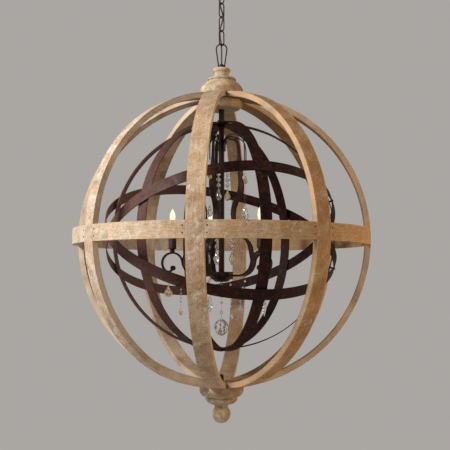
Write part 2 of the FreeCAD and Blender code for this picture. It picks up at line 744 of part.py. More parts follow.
def supply_cord():
    """Cord along its route: straight runs joined by tangent arcs."""
    points = cord_route()
    edges = []
    here = points[0]
    radii = []
    for before, corner, after in zip(points, points[1:], points[2:]):
        back = (before - corner).normalize()
        ahead = (after - corner).normalize()
        half = (math.pi - back.getAngle(ahead)) / 2
        shorter = min((before - corner).Length, (after - corner).Length)
        radius = min(CORD_BEND, 0.45 * shorter / math.tan(half))
        reach = radius * math.tan(half)
        middle = corner + (back + ahead).normalize() * (radius / math.cos(half) - radius)
        start = corner + back * reach
        end = corner + ahead * reach
        edges.append(Part.LineSegment(here, start).toShape())
        edges.append(Part.Arc(start, middle, end).toShape())
        radii.append(round(radius, 1))
        here = end
    edges.append(Part.LineSegment(here, points[-1]).toShape())
    length = sum(edge.Length for edge in edges)
    cord = round_wire(edges, CORD_D)
    share = cord.Volume / (length * math.pi * (CORD_D / 2) ** 2)
    print(f"cord: length {length:.0f} mm, volume over section times length {share:.4f}, radii {radii}")
    return cord


def canopy():
    """Thin ceiling cup."""
    bore = NIPPLE_R + SEAT_GAP
    inner = CANOPY_R - CANOPY_WALL
    low = -CANOPY_H
    steps = [
        ((CANOPY_R, 0),),
        ((CANOPY_R, -CANOPY_RIM),),
        ((CANOPY_R * 0.8, low * 0.72), (COLLAR_R + 8, low)),
        ((bore, low),),
        ((bore, low + CANOPY_WALL),),
        ((COLLAR_R + 8, low + CANOPY_WALL),),
        ((CANOPY_R * 0.8 - CANOPY_WALL, low * 0.72 + CANOPY_WALL), (inner, -CANOPY_RIM)),
    ]
    return turned((inner, 0), steps)


def crossbar():
    """Strap that the outlet box's screws hold."""
    corner = Vector(-CROSSBAR_L / 2, -CROSSBAR_W / 2, -CROSSBAR_T)
    bar = Part.makeBox(CROSSBAR_L, CROSSBAR_W, CROSSBAR_T, corner)
    low = -2 * CROSSBAR_T
    reach = BOX_SCREW_SPACING / 2
    holes = [rod(BOX_SCREW_HOLE_R, low, CROSSBAR_T, at) for at in (-reach, reach)]
    return bar.cut(holes + [rod(NIPPLE_R + THREAD_GAP, low, CROSSBAR_T)])


def write(name, shape):
    """One STEP file per piece."""
    shape.exportStep(f"parts/{name}.step")


def ceiling_pieces():
    """Pieces that stay on the ceiling."""
    loop = pear_loop()
    loop.rotate(Vector(), Vector(1, 0, 0), 180)
    nipple_low = -CANOPY_H - COLLAR_H - NIPPLE_PROUD
    return {
        "crossbar": crossbar(),
        "canopy_nipple": tube(NIPPLE_R, NIPPLE_BORE_R, nipple_low, 0),
        "canopy": canopy(),
        "canopy_loop": raised(turned_to(loop, LOOP_AZIMUTH), -CANOPY_H - COLLAR_H),
        "supply_cord": supply_cord(),
    }


def chain():
    """Links, each turned a quarter from the last."""
    links = {}
    for k in range(LINK_COUNT):
        side = -45 if k % 2 == 0 else 45
        links[f"chain_link_{k + 1}"] = chain_link(FIRST_LINK_Z - k * LINK_PITCH, LOOP_AZIMUTH + side)
    return links


def wooden_orb():
    """Ribs, ring and turned pieces."""
    pieces = {f"rib_{k + 1}": rib(k * 360 / RIB_COUNT) for k in range(RIB_COUNT)}
    nipple = tube(NIPPLE_R, NIPPLE_BORE_R, STEM_TOP - NIPPLE_GRIP, COLLAR_TOP + NIPPLE_PROUD)
    pieces.update({
        "ring_segments": Part.makeCompound(ring_segments()),
        "ring_nails": Part.makeCompound(nails()),
        "top_finial": top_finial(),
        "inner_disc": inner_disc(),
        "bottom_finial": bottom_finial(),
        "pole_bolt": pole_bolt(),
        "hub_nipple": nipple,
        "hub_loop": raised(turned_to(pear_loop(), LOOP_AZIMUTH), COLLAR_TOP),
    })
    return pieces


def iron_orb():
    """Stem, hoops and their fasteners."""
    stem = tube(STEM_R, NIPPLE_R + THREAD_GAP, HUB_BOTTOM - HUB_CAP_H / 2 + 1, STEM_TOP - SEAT_GAP)
    pieces = {"stem_tube": stem, "stem_nuts": Part.makeCompound(stem_nuts())}
    names = [f"upright_hoop_{k + 1}" for k in range(len(HOOP_AZIMUTHS))]
    names += [f"tilted_hoop_{k + 1}" for k in range(len(TILTS))]
    pieces.update(zip(names, hoops()))
    pieces["hoop_rivets"] = Part.makeCompound(rivets())
    return pieces


def lights():
    """Hub, arms, scrolls and candles."""
    pieces = {"arm_hub": arm_hub(), "hub_cap": hub_cap()}
    arm = arm_bar()
    scroll = scroll_bar()
    for k, azimuth in enumerate(ARM_AZIMUTHS):
        pieces[f"arm_{k + 1}"] = turned_to(arm, azimuth)
        pieces[f"scroll_{k + 1}"] = turned_to(scroll, azimuth)
    pieces["candle_cups"] = all_round(candle_cup())
    sleeve = tube(SLEEVE_R, SLEEVE_R - SLEEVE_WALL, CUP_TOP, SLEEVE_TOP, CANDLE_R)
    pieces["candle_sleeves"] = all_round(sleeve)
    pieces["lampholders"] = all_round(lampholder())
    pieces["bulbs"] = all_round(bulb())
    return pieces


def centre_beads():
    """Beads of the middle string, down to a ball that hangs above the hoops' lower pole."""
    tip = HOOP_Z - HOOP_R + HOOP_T + BALL_RISE
    ball = hang_height(hub_eye_height()) - tip - BALL_H / 2
    run = ball - BALL_H / 2
    beads = [(run * share, half_w, half_h) for share, half_w, half_h in CENTRE_BEADS]
    return beads + [(ball, BALL_R, BALL_H / 2)]


def crystals():
    """Strings that hang free: one in the middle, one under each curl, one in each waist."""
    pieces = {"ball_drop": string(0, hub_eye_height(), centre_beads())}
    for k, azimuth in enumerate(ARM_AZIMUTHS):
        beads = ALMOND_BEADS if k % 2 == 0 else PEAR_BEADS
        pieces[f"arm_pendant_{k + 1}"] = turned_to(string(*arm_eye(), beads), azimuth)
        pieces[f"waist_strand_{k + 1}"] = turned_to(string(*scroll_eye(), WAIST_BEADS), azimuth)
    return pieces


# Beads between the middle ring and the ball: share of that run, half width and half height
CENTRE_BEADS = ((0.35, 5.0, 4.0), (0.54, 4.5, 3.8), (0.82, 5.5, 4.6))
# Other strings: distance below the ring, half width and half height of each crystal
ALMOND_BEADS = ((14.0, 4.5, 4.0), (30.0, 4.5, 4.0), (46.0, 5.5, 5.0), (88.0, 8.5, 29.0))
PEAR_BEADS = ((12.0, 4.5, 4.0), (24.0, 3.5, 3.5), (48.0, 13.0, 16.5))
WAIST_BEADS = ((16.0, 3.5, 3.5), (30.0, 4.5, 4.0), (44.0, 4.5, 4.0), (58.0, 4.5, 4.0), (72.0, 5.0, 5.0),
               (88.0, 5.0, 6.0), (114.0, 9.0, 19.0))


def main():
    """Build every piece and write it in the row's frame."""
    os.makedirs("parts", exist_ok=True)
    for name, shape in {**ceiling_pieces(), **chain()}.items():
        write(name, shape)
    for group in (wooden_orb(), iron_orb(), lights(), crystals()):
        for name, shape in group.items():
            write(name, raised(shape, ORB_Z))


main()
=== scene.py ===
"""Dresses the orb chandelier: whitewashed wood, rusted straps, cut glass and lit bulbs.

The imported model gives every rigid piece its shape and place. This script gives those pieces their
finishes, replaces the bulbs, crystals and supply cord with detailed ones, and sets up the studio.
Sizes are in millimetres and heights are measured from the middle of the wooden orb, unless a
name or a comment says otherwise. Azimuth 0 is -Y and grows towards +X.
"""
import logging
import math
from dataclasses import dataclass, field, replace
from enum import Enum

import bpy
from bpy.types import Material, Node, NodeSocket, NodeTree, Object, Scene
from mathutils import Matrix, Vector


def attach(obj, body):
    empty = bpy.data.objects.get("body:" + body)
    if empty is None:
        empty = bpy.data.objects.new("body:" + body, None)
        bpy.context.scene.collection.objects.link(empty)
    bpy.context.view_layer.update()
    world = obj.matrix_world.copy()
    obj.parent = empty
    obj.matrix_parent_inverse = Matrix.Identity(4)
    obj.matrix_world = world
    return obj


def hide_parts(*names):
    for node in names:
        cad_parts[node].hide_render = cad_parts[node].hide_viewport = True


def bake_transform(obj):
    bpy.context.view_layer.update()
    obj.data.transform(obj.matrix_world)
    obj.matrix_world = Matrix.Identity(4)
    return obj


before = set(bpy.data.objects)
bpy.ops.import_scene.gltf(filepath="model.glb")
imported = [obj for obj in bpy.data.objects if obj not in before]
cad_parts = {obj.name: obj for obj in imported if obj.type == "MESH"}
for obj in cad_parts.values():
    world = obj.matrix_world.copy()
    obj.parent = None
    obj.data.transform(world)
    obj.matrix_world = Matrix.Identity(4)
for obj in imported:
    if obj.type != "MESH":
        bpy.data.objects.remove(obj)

log = logging.getLogger("chandelier")

MM = 0.001
ORB_Z = -860.1              # middle of the wooden orb in the shared frame
ORB_R = 432.0               # outer face of its ribs
ARM_AZIMUTHS = tuple(58.0 + 72.0 * k for k in range(5))
ORB_BODY = "orb"
WALL_COLOUR = "AAA6A3"
SMOOTH_UNDER = 40.0         # degrees between two faces that are shaded as one
FACET_SKEW = 0.5            # turn between rings that gives triangular facets

Pair = tuple[float, float]
Outline = tuple[Pair, ...]  # points by distance from an axis and height


# ---- Objects and meshes ----


def polar(azimuth: float, radius: float, height: float) -> Vector:
    """Point by azimuth, distance from the axis and height above the orb's middle.

    Args:
        azimuth: Degrees from -Y towards +X.
        radius: Distance from the axis, in mm.
        height: Height above the orb's middle, in mm.

    Returns:
        The point in the shared frame, in metres.
    """
    turn = math.radians(azimuth)
    place = Vector((radius * math.sin(turn), -radius * math.cos(turn), height + ORB_Z))
    return place * MM


def linear(hex_colour: str) -> tuple[float, float, float, float]:
    """Linear colour of an sRGB hex value.

    Args:
        hex_colour: Six hex digits, such as "C8A678".

    Returns:
        Red, green, blue and full opacity.
    """
    channels = [int(hex_colour[i:i + 2], 16) / 255 for i in (0, 2, 4)]
    turned = [c / 12.92 if c <= 0.04045 else ((c + 0.055) / 1.055) ** 2.4 for c in channels]
    return (*turned, 1.0)


def deselect_all() -> None:
    """Clears the selection, because operators act on all that is selected."""
    if bpy.context.object and bpy.context.object.mode != "OBJECT":
        bpy.ops.object.mode_set(mode="OBJECT")
    bpy.ops.object.select_all(action="DESELECT")


def make_only(obj: Object) -> None:
    """Selects one object alone and makes it active.

    Args:
        obj: The object.
    """
    deselect_all()
    obj.select_set(True)
    bpy.context.view_layer.objects.active = obj


def settle(obj: Object) -> None:
    """Moves an object's place into its mesh."""
    make_only(obj)
    bpy.ops.object.transform_apply(location=True, rotation=True, scale=True)


def copy_to(template: Object, place: Matrix, name: str) -> Object:
    """Copies a template with its own mesh, its place in the mesh.

    Args:
        template: A finished piece around the origin.
        place: Where the copy goes, in metres.
        name: The copy's name.

    Returns:
        The copy, linked to the scene.
    """
    piece = bpy.data.objects.new(name, template.data.copy())
    piece.data.transform(place)
    bpy.context.scene.collection.objects.link(piece)
    return piece


def joined(pieces: list[Object], name: str) -> Object:
    """Joins pieces into one object.

    Args:
        pieces: The pieces, at least one.
        name: The joined object's name.

    Returns:
        The joined object.
    """
    deselect_all()
    for piece in pieces:
        piece.select_set(True)
    bpy.context.view_layer.objects.active = pieces[0]
    if len(pieces) > 1:
        bpy.ops.object.join()
    whole = bpy.context.view_layer.objects.active
    whole.name = name
    whole.data.name = name
    return whole


def dressed(obj: Object, material: Material) -> Object:
    """Gives an object one material.

    Args:
        obj: A CAD node or a new piece.
        material: The finish.

    Returns:
        The same object.
    """
    if not obj.material_slots:
        obj.data.materials.append(material)
    for material_slot in obj.material_slots:
        material_slot.material = material
    return obj


def turned_form(name: str, rings: Outline, sides: int, skew: float = 0.0,
                smooth: bool = False) -> Object:
    """Extrudes a disc ring by ring, as a lathe or a facet wheel shapes a blank.

    Args:
        name: Object name.
        rings: (radius, height) from the bottom up, in mm, every radius over 0.
        sides: Sides of each ring.
        skew: Turn from ring to ring, in parts of a side.
        smooth: Shade the shallow edges smooth.

    Returns:
        The closed form around the origin.
    """
    deselect_all()
    radius, height = rings[0]
    bpy.ops.mesh.primitive_circle_add(vertices=sides, radius=radius * MM, fill_type="NGON",
                                      location=(0, 0, height * MM))
    form = bpy.context.object
    form.name = name
    bpy.ops.object.mode_set(mode="EDIT")
    bpy.ops.mesh.select_all(action="SELECT")
    for (radius, height), (next_radius, next_height) in zip(rings, rings[1:]):
        rise = (next_height - height) * MM
        bpy.ops.mesh.extrude_region_move(TRANSFORM_OT_translate={"value": (0, 0, rise)})
        centre = (0, 0, next_height * MM)
        share = next_radius / radius
        bpy.ops.transform.resize(value=(share, share, 1), center_override=centre)
        if skew:
            bpy.ops.transform.rotate(value=skew * 2 * math.pi / sides, orient_axis="Z",
                                     center_override=centre)
    bpy.ops.mesh.select_all(action="SELECT")
    if skew:
        bpy.ops.mesh.quads_convert_to_tris(quad_method="SHORTEST_DIAGONAL")
    bpy.ops.mesh.normals_make_consistent(inside=False)
    bpy.ops.object.mode_set(mode="OBJECT")
    settle(form)
    if smooth:
        bpy.ops.object.shade_smooth_by_angle(angle=math.radians(SMOOTH_UNDER))
    return form


def wire_ring(name: str, radius: float, wire: float) -> Object:
    """Round wire ring in the XZ plane.

    Args:
        name: Object name.
        radius: To the wire's middle, in mm.
        wire: The wire's radius, in mm.

    Returns:
        The ring around the origin.
    """
    deselect_all()
    bpy.ops.mesh.primitive_torus_add(
        major_radius=radius * MM, minor_radius=wire * MM, major_segments=18, minor_segments=8,
        rotation=(math.pi / 2, 0, 0))
    ring = bpy.context.object
    ring.name = name
    settle(ring)
    bpy.ops.object.shade_smooth()
    return ring


def swept_wire(name: str, path: list[Vector], wire: float, steps: int, roundness: int) -> Object:
    """Round wire along a smooth curve.

    Args:
        name: Object name.
        path: The curve's control points, in metres.
        wire: The wire's radius, in mm.
        steps: Steps of the curve from point to point.
        roundness: Extra corners in each quarter of the wire's section.

    Returns:
        The wire, with closed ends.
    """
    curve = bpy.data.curves.new(name, "CURVE")
    curve.dimensions = "3D"
    spline = curve.splines.new("NURBS")
    spline.points.add(len(path) - 1)
    for point, place in zip(spline.points, path):
        point.co = (*place, 1.0)
    spline.order_u = 3
    spline.use_endpoint_u = True
    spline.resolution_u = steps
    curve.bevel_depth = wire * MM
    curve.bevel_resolution = roundness
    curve.use_fill_caps = True
    rod = bpy.data.objects.new(name, curve)
    bpy.context.scene.collection.objects.link(rod)
    make_only(rod)
    bpy.ops.object.convert(target="MESH")
    bpy.ops.object.shade_smooth()
    return bpy.context.object


# ---- Shader nodes ----


def add_node(tree: NodeTree, kind: str, inputs: dict | None = None, **settings) -> Node:
    """Adds a shader node with its settings and links.

    Args:
        tree: The node tree.
        kind: Kind of shader node, such as "Math".
        inputs: Values or output sockets by input name or number.
        settings: Node attributes.

    Returns:
        The node.
    """
    node = tree.nodes.new(f"ShaderNode{kind}")
    for key, value in settings.items():
        setattr(node, key, value)
    for key, value in (inputs or {}).items():
        if isinstance(value, NodeSocket):
            tree.links.new(value, node.inputs[key])
        else:
            node.inputs[key].default_value = value
    return node


def maths(tree: NodeTree, operation: str, *values) -> NodeSocket:
    """Works out one step of arithmetic.

    Args:
        tree: The node tree.
        operation: Such as "MULTIPLY".
        values: Numbers or sockets.

    Returns:
        The result.
    """
    inputs = dict(enumerate(values))
    return add_node(tree, "Math", inputs, operation=operation).outputs[0]


def line(tree: NodeTree, value, slope: float, start: float):
    """Works out start + slope * value.

    Args:
        tree: The node tree.
        value: Number or socket.
        slope: Rise of the result for each 1 of the value.
        start: The result at 0.

    Returns:
        A number for a number and a socket for a socket.
    """
    if isinstance(value, float):
        return start + slope * value
    return maths(tree, "MULTIPLY_ADD", value, slope, start)


def remap(tree: NodeTree, value, source: Pair,
          target: Pair = (0.0, 1.0), kind: str = "LINEAR") -> NodeSocket:
    """Maps one range onto another and clamps what lies outside.

    Args:
        tree: The node tree.
        value: Number or socket.
        source: Values that give the two ends of the target.
        target: The result's two ends.
        kind: How the result rises between them.

    Returns:
        The result.
    """
    inputs = {0: value, 1: source[0], 2: source[1], 3: target[0], 4: target[1]}
    return add_node(tree, "MapRange", inputs, interpolation_type=kind).outputs[0]


def blend_colour(tree: NodeTree, share, low, high, mode: str = "MIX") -> NodeSocket:
    """Mixes two colours.

    Args:
        tree: The node tree.
        share: Value or socket, 0 gives low and 1 gives high.
        low: Hex colour or socket.
        high: Hex colour or socket.
        mode: Blend mode.

    Returns:
        The mixed colour.
    """
    low, high = (linear(tone) if isinstance(tone, str) else tone for tone in (low, high))
    mix = add_node(tree, "Mix", {0: share, 6: low, 7: high}, data_type="RGBA", blend_type=mode)
    return mix.outputs[2]


def bumpy_skin(tree: NodeTree, height, strength: float, depth_mm: float, **inputs) -> NodeSocket:
    """Adds an opaque surface with a bump.

    Args:
        tree: The node tree.
        height: Height of the bump, from 0 to 1.
        strength: The bump's share.
        depth_mm: How deep it is.
        inputs: The surface's colour and the like, with _ for each space in a name.

    Returns:
        The shader.
    """
    bump = add_node(tree, "Bump", {
        "Height": height, "Strength": strength, "Distance": depth_mm * MM})
    named = {key.replace("_", " "): value for key, value in inputs.items()}
    return add_node(tree, "BsdfPrincipled", named | {"Normal": bump.outputs[0]}).outputs[0]


def rim_colour(tree: NodeTree, reach: float, middle: str, outline: str) -> NodeSocket:
    """Colour that changes from a round piece's middle to its outline as far as reach, 0 to 1."""
    rim = add_node(tree, "LayerWeight", {"Blend": reach}).outputs["Facing"]
    return blend_colour(tree, rim, middle, outline)


def object_place(tree: NodeTree) -> NodeSocket:
    """Object coordinates, in metres."""
    return add_node(tree, "TexCoord").outputs["Object"]


def seen_by(tree: NodeTree, *rays: str) -> NodeSocket:
    """Tells some kinds of ray from the others.

    Args:
        tree: The node tree.
        rays: The kinds, such as "Is Camera Ray".

    Returns:
        1 for these kinds and 0 for all others.
    """
    path = add_node(tree, "LightPath")
    seen = path.outputs[rays[0]]
    for ray in rays[1:]:
        seen = maths(tree, "MAXIMUM", seen, path.outputs[ray])
    return seen


@dataclass(frozen=True)
class Blotches:
    """How much of a surface a blotchy pattern covers, and how ragged it is."""

    low: float  # noise level where the pattern starts
    high: float  # noise level where it covers fully
    detail: float = 4.0  # octaves of noise
    rough: float = 0.55  # weight of the fine octaves
    lift: float = 0.0  # seed offset, so that two patterns differ

    def mask(self, tree: NodeTree, vector, grain_mm: float, bias=0.0) -> NodeSocket:
        """The pattern itself, 0 where it is bare and 1 where it covers.

        Args:
            tree: The node tree.
            vector: Coordinates in metres.
            grain_mm: Size of a blotch.
            bias: Value or socket that is added to the noise, so that the blotches spread.

        Returns:
            A value from 0 to 1.
        """
        offset = (self.lift, self.lift, self.lift)
        moved = add_node(tree, "VectorMath", {0: vector, 1: offset}, operation="ADD")
        noise = add_node(tree, "TexNoise", {
            "Vector": moved.outputs[0], "Scale": 1 / (grain_mm * MM), "Detail": self.detail,
            "Roughness": self.rough})
        level = maths(tree, "ADD", noise.outputs[0], bias)
        return remap(tree, level, (self.low, self.high), kind="SMOOTHSTEP")


# ---- Finishes ----


class Finish:
    """A surface that can be made into materials."""

    def material(self, name: str, *place) -> Material:
        """Makes a material of this surface.

        Args:
            name: Material name.
            place: How the piece lies, for a surface that depends on it.

        Returns:
            The material.
        """
        material = bpy.data.materials.new(name)
        material.use_nodes = True
        tree = material.node_tree
        tree.nodes.clear()
        output = add_node(tree, "OutputMaterial")
        tree.links.new(self.shader(tree, *place), output.inputs[0])
        return material

    def shader(self, tree: NodeTree, *place) -> NodeSocket:
        """Adds the surface's nodes to a tree and gives the socket of its shader."""
        raise NotImplementedError


class GrainRun(Enum):
    """How the wood's grain lies."""

    RIB = "along an upright rib"
    RING = "along the equator ring"
    TURNED = "up and down a turned piece"


@dataclass(frozen=True)
class Strip:
    """How one wooden piece lies."""

    run: GrainRun
    azimuth: float = 0.0  # of an upright rib
    half_width: float = 23.0
    middle: float = 0.0  # height of a ring's middle line
    seed: float = 0.0  # moves the pattern, so that no two pieces match


@dataclass(frozen=True)
class WhitewashedPine(Finish):
    """Bent strips of pine, stained, brushed with thin white paint and sanded back.

    The paint stays in broad cloudy patches on the outer face. The outer face's long edges are
    paler, partly rubbed to pale wood and partly a painted edge highlight. The sides and inner face
    keep the brown stain, and the sides are also darkened as painted shade. The orb's +X side has
    more stain and less paint and is painted darker and golden as shade and warm light, while the -X
    side is painted paler as the key light. Every cover is from 0 to 1.
    """

    stain_dark: str = "5A3C20"
    stain: str = "8E6436"
    bare: str = "CBB396"  # sanded wood on the -X side
    golden_shade: str = "AC793A"  # sanded wood on the +X side, painted darker and golden as shade and warm light
    rubbed_and_highlit: str = "C7A167"  # long edges, worn pale and painted as an edge highlight
    paint: str = "D9CEC0"
    stained_shaded_paint: str = "CCAE84"  # paint on the +X side, stained through and painted darker as shade
    chalk: str = "DDD7CC"
    patina: str = "7E735F"
    roughness: float = 0.72  # sanded, unvarnished
    vein_mm: float = 2.6  # grain lines, drawn coarser than real ones so that they show
    vein_run_mm: float = 70.0
    tone_mm: float = 120.0
    patch_mm: float = 34.0
    fleck_mm: float = 22.0
    grey_share: float = 0.7  # size of a grey blotch, in parts of a patch
    mottle_mm: float = 5.0
    speck_mm: float = 9.0
    dust_mm: float = 45.0
    rub_and_highlight_mm: float = 40.0
    stroke_turn: float = 62.0  # degrees from the grain to the strokes of the paint brush
    stroke_stretch: float = 1.5
    strip_mm: float = 16.0  # thickness of a strip
    rub_and_highlight_edge_mm: Pair = (4.0, 0.3)  # from the edge, where the worn and painted edge highlight starts and ends
    skin_mm: Pair = (2.2, 0.6)  # from a face, where its finish starts and ends
    paint_light_swing: float = 0.06  # how much further the paint spreads on the -X side, partly as painted light
    shade_reach_mm: float = 432.0  # how far from the axis the painted-light -X side and the painted-shade +X side differ fully
    dusty: Pair = (0.72, 0.99)  # heights where dust starts and is full, per radius
    dust_cover: float = 0.75
    paint_light_cover: Pair = (0.92, -0.45)  # on the -X side, and its change to +X; the extra paint on -X is partly painted light
    speck_light_cover: Pair = (0.7, -0.6)  # the same for specks, also partly painted light
    turned_cover: float = 0.75  # of the outer face's look on turned pieces
    bare_cover: float = 0.72  # of bare wood where the outer face has no paint
    grey_cover: float = 0.5
    chalk_cover: float = 0.8
    vein_cover: float = 0.24
    mottle_cover: float = 0.34
    rub_and_highlight_cover: float = 0.6
    side_stain_shade_cover: Pair = (0.45, 0.35)  # of bare wood and of paint on the sides, kept low for their stain and as painted shade
    inner_cover: float = 0.6  # of the outer face's look on the inner face
    seed_steps: tuple[float, float, float] = (1.0, 0.7, 1.3)  # so that a seed moves all three ways
    bump: float = 0.35
    bump_mm: float = 0.8
    ior: float = 1.45
    veins: Blotches = Blotches(0.34, 0.68, 5.0, 0.6)
    tone: Blotches = Blotches(0.35, 0.65, 2.0, 0.5, 3.1)
    patches: Blotches = Blotches(0.34, 0.66, 4.0, 0.50, 7.7)
    chalky: Blotches = Blotches(0.56, 0.68, 6.0, 0.68, 11.3)
    grey: Blotches = Blotches(0.50, 0.70, 7.0, 0.66, 19.0)
    rub_and_highlight: Blotches = Blotches(0.32, 0.60, 4.0, 0.55, 27.0)
    mottle: Blotches = Blotches(0.40, 0.62, 5.0, 0.7, 41.0)
    specks: Blotches = Blotches(0.58, 0.74, 5.0, 0.66, 53.0)
    dust: Blotches = Blotches(0.36, 0.62, 5.0, 0.6, 61.0)

    def shader(self, tree: NodeTree, strip: Strip) -> NodeSocket:
        """Wood and paint on every face of one piece.

        Args:
            tree: The node tree.
            strip: How the piece lies.

        Returns:
            The shader.
        """
        where = object_place(tree)
        centred = add_node(tree, "Mapping", {
            "Vector": where, "Location": (0, 0, -ORB_Z * MM),
            "Rotation": (0, 0, math.radians(90 - strip.azimuth))}).outputs[0]
        along, across, radius = self._strip_coordinates(tree, centred, strip.run)
        flat = add_node(tree, "CombineXYZ", {0: along, 1: across, 2: radius}).outputs[0]
        offset = tuple(strip.seed * step for step in self.seed_steps)
        flat = add_node(tree, "VectorMath", {0: flat, 1: offset}, operation="ADD").outputs[0]
        squeezed = add_node(tree, "Mapping", {
            "Vector": flat, "Scale": (self.vein_mm / self.vein_run_mm, 1, 1)}).outputs[0]
        drawn = add_node(tree, "Mapping", {
            "Vector": flat, "Rotation": (0, 0, math.radians(self.stroke_turn)),
            "Scale": (self.stroke_stretch, 1, 1)}, vector_type="TEXTURE").outputs[0]
        shade_and_stain_side = self._shade_and_stain_side(tree, where, strip)
        bias = line(tree, shade_and_stain_side, -2 * self.paint_light_swing, self.paint_light_swing)

        veins = self.veins.mask(tree, squeezed, self.vein_mm)
        tone = self.tone.mask(tree, drawn, self.tone_mm)
        # sanded wood turns darker and golden towards +X: painted shade and warm light over the
        # stain
        bare = blend_colour(tree, shade_and_stain_side, self.bare, self.golden_shade)
        wood = blend_colour(tree, veins, self.stain, self.stain_dark)
        wood = blend_colour(tree, tone, wood, bare)

        # paint and flecks cover more of the -X side: uneven paint, and painted light from the key
        # side
        patches = self.patches.mask(tree, drawn, self.patch_mm, bias)
        cover = self._thinned(tree, patches, shade_and_stain_side, self.paint_light_cover)
        # paint is darker and stained towards +X: stain, and painted shade
        paint = blend_colour(tree, shade_and_stain_side, self.paint, self.stained_shaded_paint)
        unpainted = blend_colour(tree, self.bare_cover, wood, bare)
        face = blend_colour(tree, cover, unpainted, paint)
        specks = self._thinned(tree, self.specks.mask(tree, flat, self.speck_mm), shade_and_stain_side,
                               self.speck_light_cover)
        grey = self.grey.mask(tree, drawn, self.patch_mm * self.grey_share)
        chalky = self.chalky.mask(tree, drawn, self.fleck_mm, bias)
        mottle = self.mottle.mask(tree, flat, self.mottle_mm)
        for layer, amount, colour, mode in (
                (grey, self.grey_cover, self.patina, "MIX"),
                (chalky, self.chalk_cover, self.chalk, "MIX"),
                (specks, 1.0, self.chalk, "MIX"),
                (veins, self.vein_cover, self.stain, "MULTIPLY"),
                (mottle, self.mottle_cover, self.stain, "MULTIPLY")):
            share = maths(tree, "MULTIPLY", layer, amount)
            face = blend_colour(tree, share, face, colour, mode)

        # the sides keep more stain and less paint than the outer face: stain, and painted shade
        bare_share, paint_share = self.side_stain_shade_cover
        side = blend_colour(tree, bare_share, wood, self.bare)
        share = maths(tree, "MULTIPLY", cover, paint_share)
        side = blend_colour(tree, share, side, self.paint)
        if strip.run is GrainRun.RIB:
            dust = self._dust(tree, centred, drawn)
            face = blend_colour(tree, dust, face, self.patina)
        outer = self.turned_cover
        if strip.run is not GrainRun.TURNED:
            start, full = (depth * MM for depth in self.skin_mm)
            back = (ORB_R - self.strip_mm) * MM
            inner = remap(tree, radius, (back + start, back + full))
            back_look = blend_colour(tree, self.inner_cover, wood, face)
            side = blend_colour(tree, inner, side, back_look)
            outer = remap(tree, radius, (ORB_R * MM - start, ORB_R * MM - full))
            # the outer face's long edges are paler: rubbed wear, and a painted edge highlight
            edge_rub_and_highlight = self._edge_rub_and_highlight(tree, across, drawn, strip)
            share = maths(tree, "MULTIPLY", edge_rub_and_highlight, self.rub_and_highlight_cover)
            face = blend_colour(tree, share, face, self.rubbed_and_highlit)
        height = maths(tree, "SUBTRACT", veins, patches)
        colour = blend_colour(tree, outer, side, face)
        return bumpy_skin(tree, height, self.bump, self.bump_mm, Base_Color=colour,
                          Roughness=self.roughness, IOR=self.ior)

    def _thinned(self, tree: NodeTree, layer, shade_and_stain_side, cover: Pair) -> NodeSocket:
        """A layer times its cover, which changes from the -X side to the +X side, partly as painted
        light.
        """
        start, change = cover
        return maths(tree, "MULTIPLY", layer, line(tree, shade_and_stain_side, change, start))

    def _shade_and_stain_side(self, tree: NodeTree, where, strip: Strip):
        """0 on the orb's -X side, with more paint and painted key light, rising to 1 on its +X
        side, with more stain, painted shade and warm light.

        Args:
            tree: The node tree.
            where: Object coordinates.
            strip: How the piece lies.

        Returns:
            A value or a socket.
        """
        if strip.run is GrainRun.RIB:
            return 0.5 + 0.5 * math.sin(math.radians(strip.azimuth))
        parts = add_node(tree, "SeparateXYZ", {0: where})
        return line(tree, parts.outputs[0], 0.5 / (self.shade_reach_mm * MM), 0.5)

    def _strip_coordinates(self, tree: NodeTree, centred, run: GrainRun) -> tuple:
        """Distances along and across the strip, and from the orb's middle.

        Args:
            tree: The node tree.
            centred: Coordinates from the orb's middle, the rib turned to +X.
            run: How the grain lies.

        Returns:
            Three sockets, in metres.
        """
        parts = add_node(tree, "SeparateXYZ", {0: centred})
        x, y, z = parts.outputs[0], parts.outputs[1], parts.outputs[2]
        if run is GrainRun.TURNED:
            return z, x, y
        rise, level, flat = (z, x, y) if run is GrainRun.RIB else (y, x, z)
        along = maths(tree, "MULTIPLY", maths(tree, "ARCTAN2", rise, level), ORB_R * MM)
        spoke = add_node(tree, "CombineXYZ", {0: rise, 1: level, 2: 0.0}).outputs[0]
        radius = add_node(tree, "VectorMath", {0: spoke}, operation="LENGTH")
        return along, flat, radius.outputs["Value"]

    def _dust(self, tree: NodeTree, centred, drawn) -> NodeSocket:
        """Grey that gathers towards the upper pole, where dust lies.

        Args:
            tree: The node tree.
            centred: Coordinates from the orb's middle.
            drawn: Coordinates along the strokes of the brush.

        Returns:
            How much it covers.
        """
        rise = add_node(tree, "SeparateXYZ", {0: centred}).outputs[2]
        start, full = (share * ORB_R * MM for share in self.dusty)
        near = remap(tree, rise, (start, full), (0.0, self.dust_cover))
        return maths(tree, "MULTIPLY", near, self.dust.mask(tree, drawn, self.dust_mm))

    def _edge_rub_and_highlight(self, tree: NodeTree, across, drawn, strip: Strip) -> NodeSocket:
        """How far the strip's long edges are paler: rubbed wear, and a painted edge highlight.

        Args:
            tree: The node tree.
            across: Distance across the strip.
            drawn: Coordinates along the strokes of the brush.
            strip: How the piece lies.

        Returns:
            A value from 0 to 1.
        """
        off = maths(tree, "SUBTRACT", across, strip.middle * MM)
        start, full = ((strip.half_width - inset) * MM for inset in self.rub_and_highlight_edge_mm)
        edge = remap(tree, maths(tree, "ABSOLUTE", off), (start, full))
        return maths(tree, "MULTIPLY", edge, self.rub_and_highlight.mask(tree, drawn, self.rub_and_highlight_mm))


